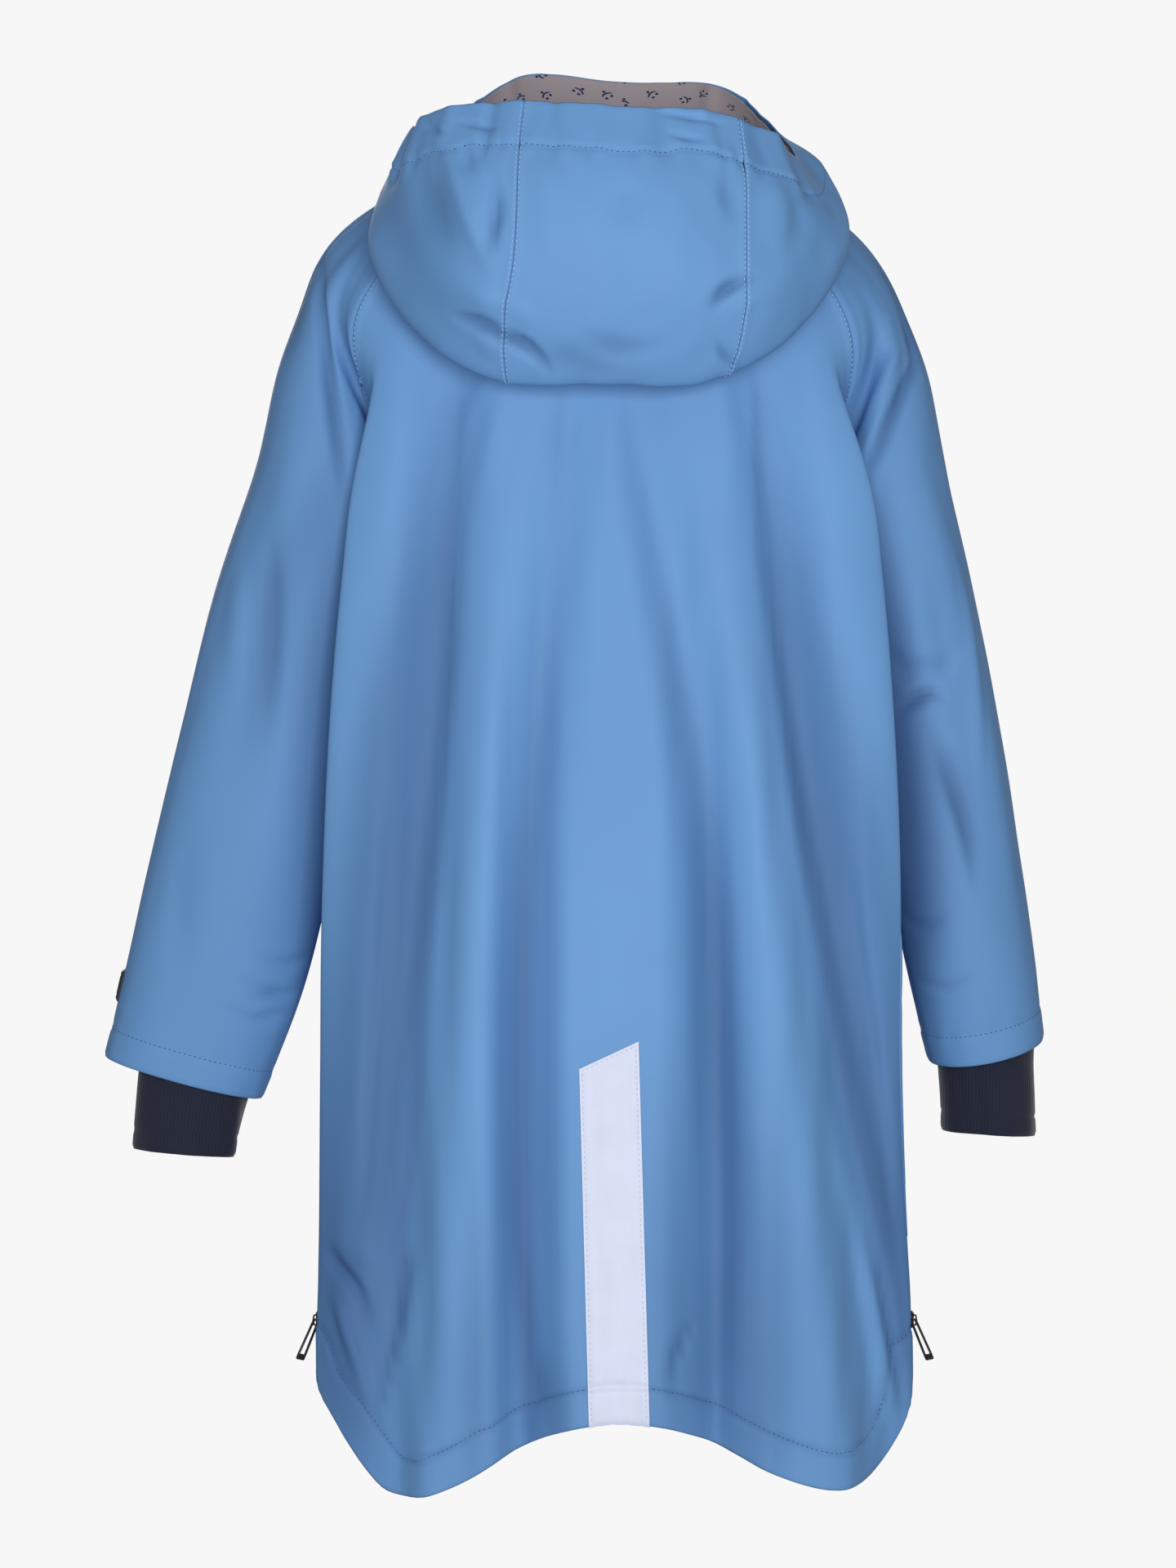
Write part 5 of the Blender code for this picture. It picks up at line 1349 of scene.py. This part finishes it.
def cuff_sheet(side):
    """Knitted inner cuff, a little wavy at its mouth."""
    def ring_point(index, turn):
        if index == 0:
            centre = sum((sleeve_ring(side, CUFF_SEWN_ROW, k / 16) for k in range(16)), Vector()) / 16
            p = sleeve_ring(side, CUFF_SEWN_ROW, turn)
            return p + (centre - p).normalized() * CUFF_INSET
        x, y, z, half_width, half_depth, tilt = CUFFS[side][index - 1]
        angle = math.pi * (1 - 2 * turn)
        reach = math.cos(angle)
        return Vector((x + half_width * reach, y + half_depth * math.sin(angle), z - tilt * reach / 2))

    def point(turn, t):
        knots = [ring_point(index, turn) for index in range(4)]
        return mirrored(spline((0, 1, 2, 3), knots, t), side)

    coarse = sampled(point, np.linspace(0, 1, 33), np.linspace(0, 3, 13), closed=True)
    rows = np.concatenate([np.linspace(0, 2.9, 60), [2.94, 2.965, 2.985, 3.0]])
    sheet = coarse.refined(np.linspace(0, 1, 145), rows)
    if side == "right":
        sheet.turn_over()
    turn, t = np.meshgrid(sheet.across, sheet.along)
    seed = CUFF_SEEDS[side]
    x, y = np.cos(turn * 2 * math.pi) * CUFF_RADIUS, np.sin(turn * 2 * math.pi) * CUFF_RADIUS
    height = waves(x, y + t * 0.02, 0.06, 0.06, seed) * 0.0016
    height += waves(x, t * 0.03, 0.02, 0.04, seed + 1) * 0.0005
    rest = sheet.foot_distance()
    height -= 0.0008 * bell(rest - CUFF_LINE, 0.0016)
    height -= 0.0010 * bell(rest, 0.0018)
    sheet.push(height)
    return sheet


def tab_sheet(side):
    """Fastening tab round the outside of the sleeve."""
    start, end = TAB_TURNS[side]

    def point(step, row):
        centre = (sleeve_ring(side, row, 0) + sleeve_ring(side, row, 0.5)) / 2
        p = sleeve_ring(side, row, start + (end - start) * step)
        stand = TAB_STAND + TAB_PUFF * math.sin(math.pi * step)
        return mirrored(p + (p - centre).normalized() * stand, side)

    coarse = sampled(point, np.linspace(0, 1, 13), np.linspace(*TAB_ROWS, 7))
    close = (0.001, 0.002, 0.003)
    sheet = coarse.refined(graded(50, 0, 1, 0.07, close), graded(16, *TAB_ROWS, 0.024, close))
    if side == "right":
        sheet.turn_over()
    down = sheet.distances()[1]
    edge = np.minimum(sheet.edge_distance(), np.minimum(down, sheet.foot_distance()))
    sheet.push(-0.0012 * bell(edge, 0.0012) - 0.0004 * bell(edge - 0.004, 0.0008))
    return sheet


def strip_sheet(back):
    """Reflective strip laid on the back panel's own fine surface."""
    middle = len(back.across) // 2
    shares = np.linspace(0, 1, 25)
    first = np.argmax(back.points[:, middle, 2] < STRIP_TOP_Z[1] + 0.02)
    laid = []
    for line, out in zip(back.points[first:], back.normals()[first:]):
        down = (line[middle, 2] - STRIP_TOP_Z[0]) / (STRIP_FOOT_Z - STRIP_TOP_Z[0])
        left, right = (top + (hem - top) * down for top, hem in zip(STRIP_X_TOP, STRIP_X_HEM))
        xs = right + (left - right) * shares
        raised = between(xs, line[:, 0], line + out * STRIP_STAND)
        laid.append(np.column_stack([xs, raised[:, 1:]]))
    laid = np.array(laid)[::-1]
    top_z = STRIP_TOP_Z[1] + (STRIP_TOP_Z[0] - STRIP_TOP_Z[1]) * shares
    rows = np.linspace(0, 1, 150)
    fine = []
    for k in range(len(shares)):
        wanted = top_z[k] + (laid[0, k, 2] + 0.0002 - top_z[k]) * rows
        fine.append(between(wanted, laid[:, k, 2], laid[:, k]))
    sheet = Sheet(np.array(fine).transpose(1, 0, 2), shares, rows)
    across, down = sheet.distances()
    edge = sheet.edge_distance()
    sheet.push(0.0005 * bell(edge - 0.004, 0.004) - 0.0003 * bell(edge - 0.0022, 0.0007)
               + waves(across, down, 0.020, 0.05, 91) * 0.00025)
    return sheet


# ---------------------------------------------------------------- seams and stitches
def edge_run(sheet, from_last, distance, low, high):
    """Path at a cloth distance from the first or last column, for rows between low and high."""
    across, _ = sheet.distances()
    normal = sheet.normals()
    points, normals = [], []
    for r in np.where((sheet.along >= low) & (sheet.along <= high))[0]:
        place = across[r, -1] - distance if from_last else distance
        points.append(between(place, across[r], sheet.points[r]))
        normals.append(between(place, across[r], normal[r]))
    return np.array(points), np.array(normals)


def level_run(sheet, field, level, skip=0):
    """Path along which a field has a given level, a point for each column but skip at both edges."""
    normal = sheet.normals()
    level = np.broadcast_to(level, (len(sheet.across),))
    points, normals = [], []
    for c in range(skip, len(sheet.across) - skip):
        rising = slice(None) if field[0, c] < field[-1, c] else slice(None, None, -1)
        v, p, n = field[rising, c], sheet.points[rising, c], normal[rising, c]
        k = np.argmax(v >= level[c])
        if k == 0:
            continue
        s = (level[c] - v[k - 1]) / (v[k] - v[k - 1])
        points.append(p[k - 1] * (1 - s) + p[k] * s)
        normals.append(n[k - 1] * (1 - s) + n[k] * s)
    return np.array(points), np.array(normals)


def add_stitches(panels, sleeves, hood, strip, materials):
    """All the rows of stitches, as one piece for each kind."""
    edges = (False, True)
    hems = [level_run(sheet, sheet.rest, sheet.hem_depth, 4) for sheet in panels]
    raglans = [edge_run(sheet, last, SEAM_STITCH, 0.03, 0.98) for sheet in panels for last in edges]
    casings = [level_run(sheet, sheet.distances()[1], CASING) for sheet in hood.values()]
    arms = [level_run(sheet, sheet.foot_distance(), SLEEVE_HEM, 3) for sheet in sleeves.values()]
    open_edges = (("hood_side_left", True), ("hood_side_right", False))     # both at the front
    seams = [edge_run(sheet, last, HOOD_STITCH, -0.995, -0.02)
             for name, sheet in hood.items() for last in edges if (name, last) not in open_edges]
    tapes = [edge_run(strip, last, STRIP_STITCH, 0.01, 0.99) for last in edges]
    tapes.append(level_run(strip, strip.distances()[1], STRIP_STITCH, 2))
    for name, runs, thread in (("hem_stitches", hems, "thread_dark"),
                               ("raglan_stitches", raglans, "thread"),
                               ("hood_stitches", seams, "thread"),
                               ("casing_stitches", casings, "thread_dark"),
                               ("sleeve_stitches", arms, "thread_dark"),
                               ("strip_stitches", tapes, "strip")):
        piece = stitch_mesh(name, runs, materials[thread])
        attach(piece, GARMENT)


# ---------------------------------------------------------------- zips
TOOTH = (0.0016, 0.0034, 0.0013)
TOOTH_BEVEL = 0.00025
TOOTH_PITCH = 0.0021
TOOTH_SHIFT = 0.0007                # how far the teeth of each side stand from the middle
TOOTH_STAND = 0.0013
TAPE_PROFILE = (                    # place across the tape and height of its surface
    (-0.0065, 0.0004), (-0.0055, 0.0014), (-0.0030, 0.0015), (-0.0028, 0.0010), (0.0, 0.0008),
    (0.0028, 0.0010), (0.0030, 0.0015), (0.0055, 0.0014), (0.0065, 0.0004),
)


def side_seam(back, front, side):
    """Side seam between the two panels, from the zip's top to the vent's."""
    ends = (-1, 0) if side == "left" else (0, -1)
    line = (back.points[:, ends[0]] + front.points[:, ends[1]]) / 2
    return line[(line[:, 2] < ZIP_TOP_Z) & (line[:, 2] > VENT_TOP_Z + 0.003)]


def build_tape(side, seam, materials):
    """Zip tape on the side seam."""
    out = 1 if side == "left" else -1
    along = run_lengths(seam)
    places = np.linspace(0, along[-1], 90)
    width, stand = np.array(TAPE_PROFILE).T
    shift = np.stack([out * stand, width, width * 0], axis=1)
    tape = Sheet(between(places, along, seam)[:, None] + shift, width, places)
    if side == "left":
        tape.turn_over()
    return sheet_mesh("zip_tape_cloth_" + side, tape, materials["tape"], TAPE_WALL)


def build_teeth(side, seam, materials):
    """The zip's chain of teeth, its two sides in turn."""
    out = 1 if side == "left" else -1
    along = run_lengths(seam)
    bm = bmesh.new()
    for k in range(int(along[-1] / TOOTH_PITCH)):
        x, y, z = between((k + 0.5) * TOOTH_PITCH, along, seam)
        shift = TOOTH_SHIFT if k % 2 else -TOOTH_SHIFT
        made = bmesh.ops.create_cube(bm, size=1.0)["verts"]
        bmesh.ops.scale(bm, vec=TOOTH, verts=made)
        bmesh.ops.translate(bm, vec=(x + out * TOOTH_STAND, y + shift, z), verts=made)
    bmesh.ops.bevel(bm, geom=bm.edges[:], offset=TOOTH_BEVEL, segments=1, affect="EDGES")
    return add_finished("zip_teeth_" + side, bm, materials["teeth"])


# ---------------------------------------------------------------- stage
CAMERA_PLACE = (0.0174, 3.27, -0.4205)
CAMERA_LENS = 103.1
AMBIENT = 0.24
BACKDROP = 0.93
BACKDROP_SIZE, BACKDROP_Y, BACKDROP_Z = 5.0, -7.0, -0.4
GARMENT_MIDDLE = Vector((0.0, 0.0, -0.42))
LAMPS = (                           # name, place, size, power, colour
    ("key", (-0.40, 3.7, -0.28), 1.2, 78.0, (1.0, 0.99, 0.97)),
    ("fill", (0.7, 3.4, -0.55), 1.6, 24.0, (0.98, 0.99, 1.0)),
    ("front", (0.4, -3.2, 0.8), 2.0, 60.0, (1.0, 1.0, 1.0)),
)


def add_lamp(name, place, size, power, colour):
    """Soft square lamp that points at the middle of the garment."""
    light = bpy.data.lights.new(name, "AREA")
    light.shape = "SQUARE"
    light.size = size
    light.energy = power
    light.color = colour
    lamp = add_object(name, light)
    lamp.location = place
    lamp.rotation_mode = "QUATERNION"
    lamp.rotation_quaternion = (Vector(place) - GARMENT_MIDDLE).to_track_quat("Z", "Y")


def add_backdrop():
    """Plain pale sheet far behind the garment."""
    mesh = bpy.data.meshes.new("backdrop")
    corners = [(x * BACKDROP_SIZE, BACKDROP_Y, z * BACKDROP_SIZE + BACKDROP_Z)
               for x, z in ((-1, -1), (1, -1), (1, 1), (-1, 1))]
    mesh.from_pydata(corners, [], [(0, 1, 2, 3)])
    paper = Nodes("backdrop_paper").finish(
        Base_Color=(0.0, 0.0, 0.0, 1), Roughness=1.0, Specular_IOR_Level=0.0,
        Emission_Color=(BACKDROP, BACKDROP, BACKDROP, 1), Emission_Strength=1.0)
    add_object("backdrop", mesh, paper)


def add_camera():
    """Camera level with the middle of the garment, looking at its back."""
    camera = bpy.data.cameras.new("camera")
    camera.lens = CAMERA_LENS
    camera.sensor_width = 36
    viewer = add_object("camera", camera)
    viewer.location = CAMERA_PLACE
    viewer.rotation_euler = (math.pi / 2, 0, math.pi)
    bpy.context.scene.camera = viewer


def build_stage():
    """Even surrounding light, backdrop, lamps and camera."""
    scene = bpy.context.scene
    scene.world = scene.world or bpy.data.worlds.new("studio")
    scene.world.use_nodes = True
    background = scene.world.node_tree.nodes["Background"]
    background.inputs["Color"].default_value = (1.0, 1.0, 1.0, 1)
    background.inputs["Strength"].default_value = AMBIENT
    add_backdrop()
    for lamp in LAMPS:
        add_lamp(*lamp)
    scene.view_settings.view_transform = "Standard"
    scene.view_settings.look = "None"
    add_camera()


# ---------------------------------------------------------------- the poncho
def make_materials():
    """All the materials by name."""
    return {
        # the second colour scales the shell's colour where its painted shade is full
        "shell": coated_cloth("shell_cloth", (0.148, 0.334, 0.650), (0.28, 0.31, 0.40)),
        "thread": plain("thread", (0.42, 0.61, 0.88), 0.6),
        "thread_dark": plain("thread_dark", (0.050, 0.115, 0.27), 0.6),
        "lining": printed_lining("lining_print", (0.385, 0.335, 0.362), (0.012, 0.026, 0.100)),
        "cuff": rib_knit("cuff_knit", (0.016, 0.020, 0.040)),
        "tab": plain("tab_cloth", (0.018, 0.020, 0.032), 0.65),
        "strip": reflective("reflective_tape", (0.62, 0.67, 0.85)),
        "tape": plain("zip_tape", (0.014, 0.016, 0.024), 0.8),
        "teeth": plain("zip_teeth", (0.020, 0.020, 0.022), 0.35),
        "metal": plain("zip_metal", (0.055, 0.055, 0.058), 0.32, 0.9),
    }


def declare(piece, node):
    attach(piece, GARMENT)
    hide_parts(node)


def build():
    materials = make_materials()
    back, front = build_panel("back"), build_panel("front")
    sleeves = {side: build_sleeve(side) for side in SIDES}
    hood = {name: hood_sheet(name) for name in HOOD_PANELS}
    strip = strip_sheet(back)

    def cloth(name, sheet, material, wall, node):
        declare(sheet_mesh(name, sheet, materials[material], wall), node)

    cloth("back_cloth", back, "shell", WALL, "back_panel")
    cloth("front_cloth", front, "shell", WALL, "front_panel")
    for side in SIDES:
        cloth("sleeve_cloth_" + side, sleeves[side], "shell", WALL, "sleeve_" + side)
        cloth("cuff_cloth_" + side, cuff_sheet(side), "cuff", CUFF_WALL, "cuff_" + side)
        cloth("tab_cloth_" + side, tab_sheet(side), "tab", TAB_WALL, "sleeve_tab_" + side)
    cloth("hood_cloth_centre", hood["hood_centre"], "shell", WALL, "hood_centre")
    for side in SIDES:
        cloth("hood_cloth_" + side, hood["hood_side_" + side], "shell", WALL, "hood_side_" + side)
    cloth("lining_cloth", build_lining(), "lining", LINING_WALL, "hood_lining")
    cloth("strip_cloth", strip, "strip", 0.0, "reflective_strip")
    add_stitches((back, front), sleeves, hood, strip, materials)
    for side in SIDES:
        seam = side_seam(back, front, side)
        declare(build_tape(side, seam, materials), "side_zip_" + side)
        teeth = build_teeth(side, seam, materials)
        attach(teeth, GARMENT)
        for kind in ("zip_slider_", "zip_pull_"):
            for slot in bpy.data.objects[kind + side].material_slots:
                slot.material = materials["metal"]


build()
build_stage()
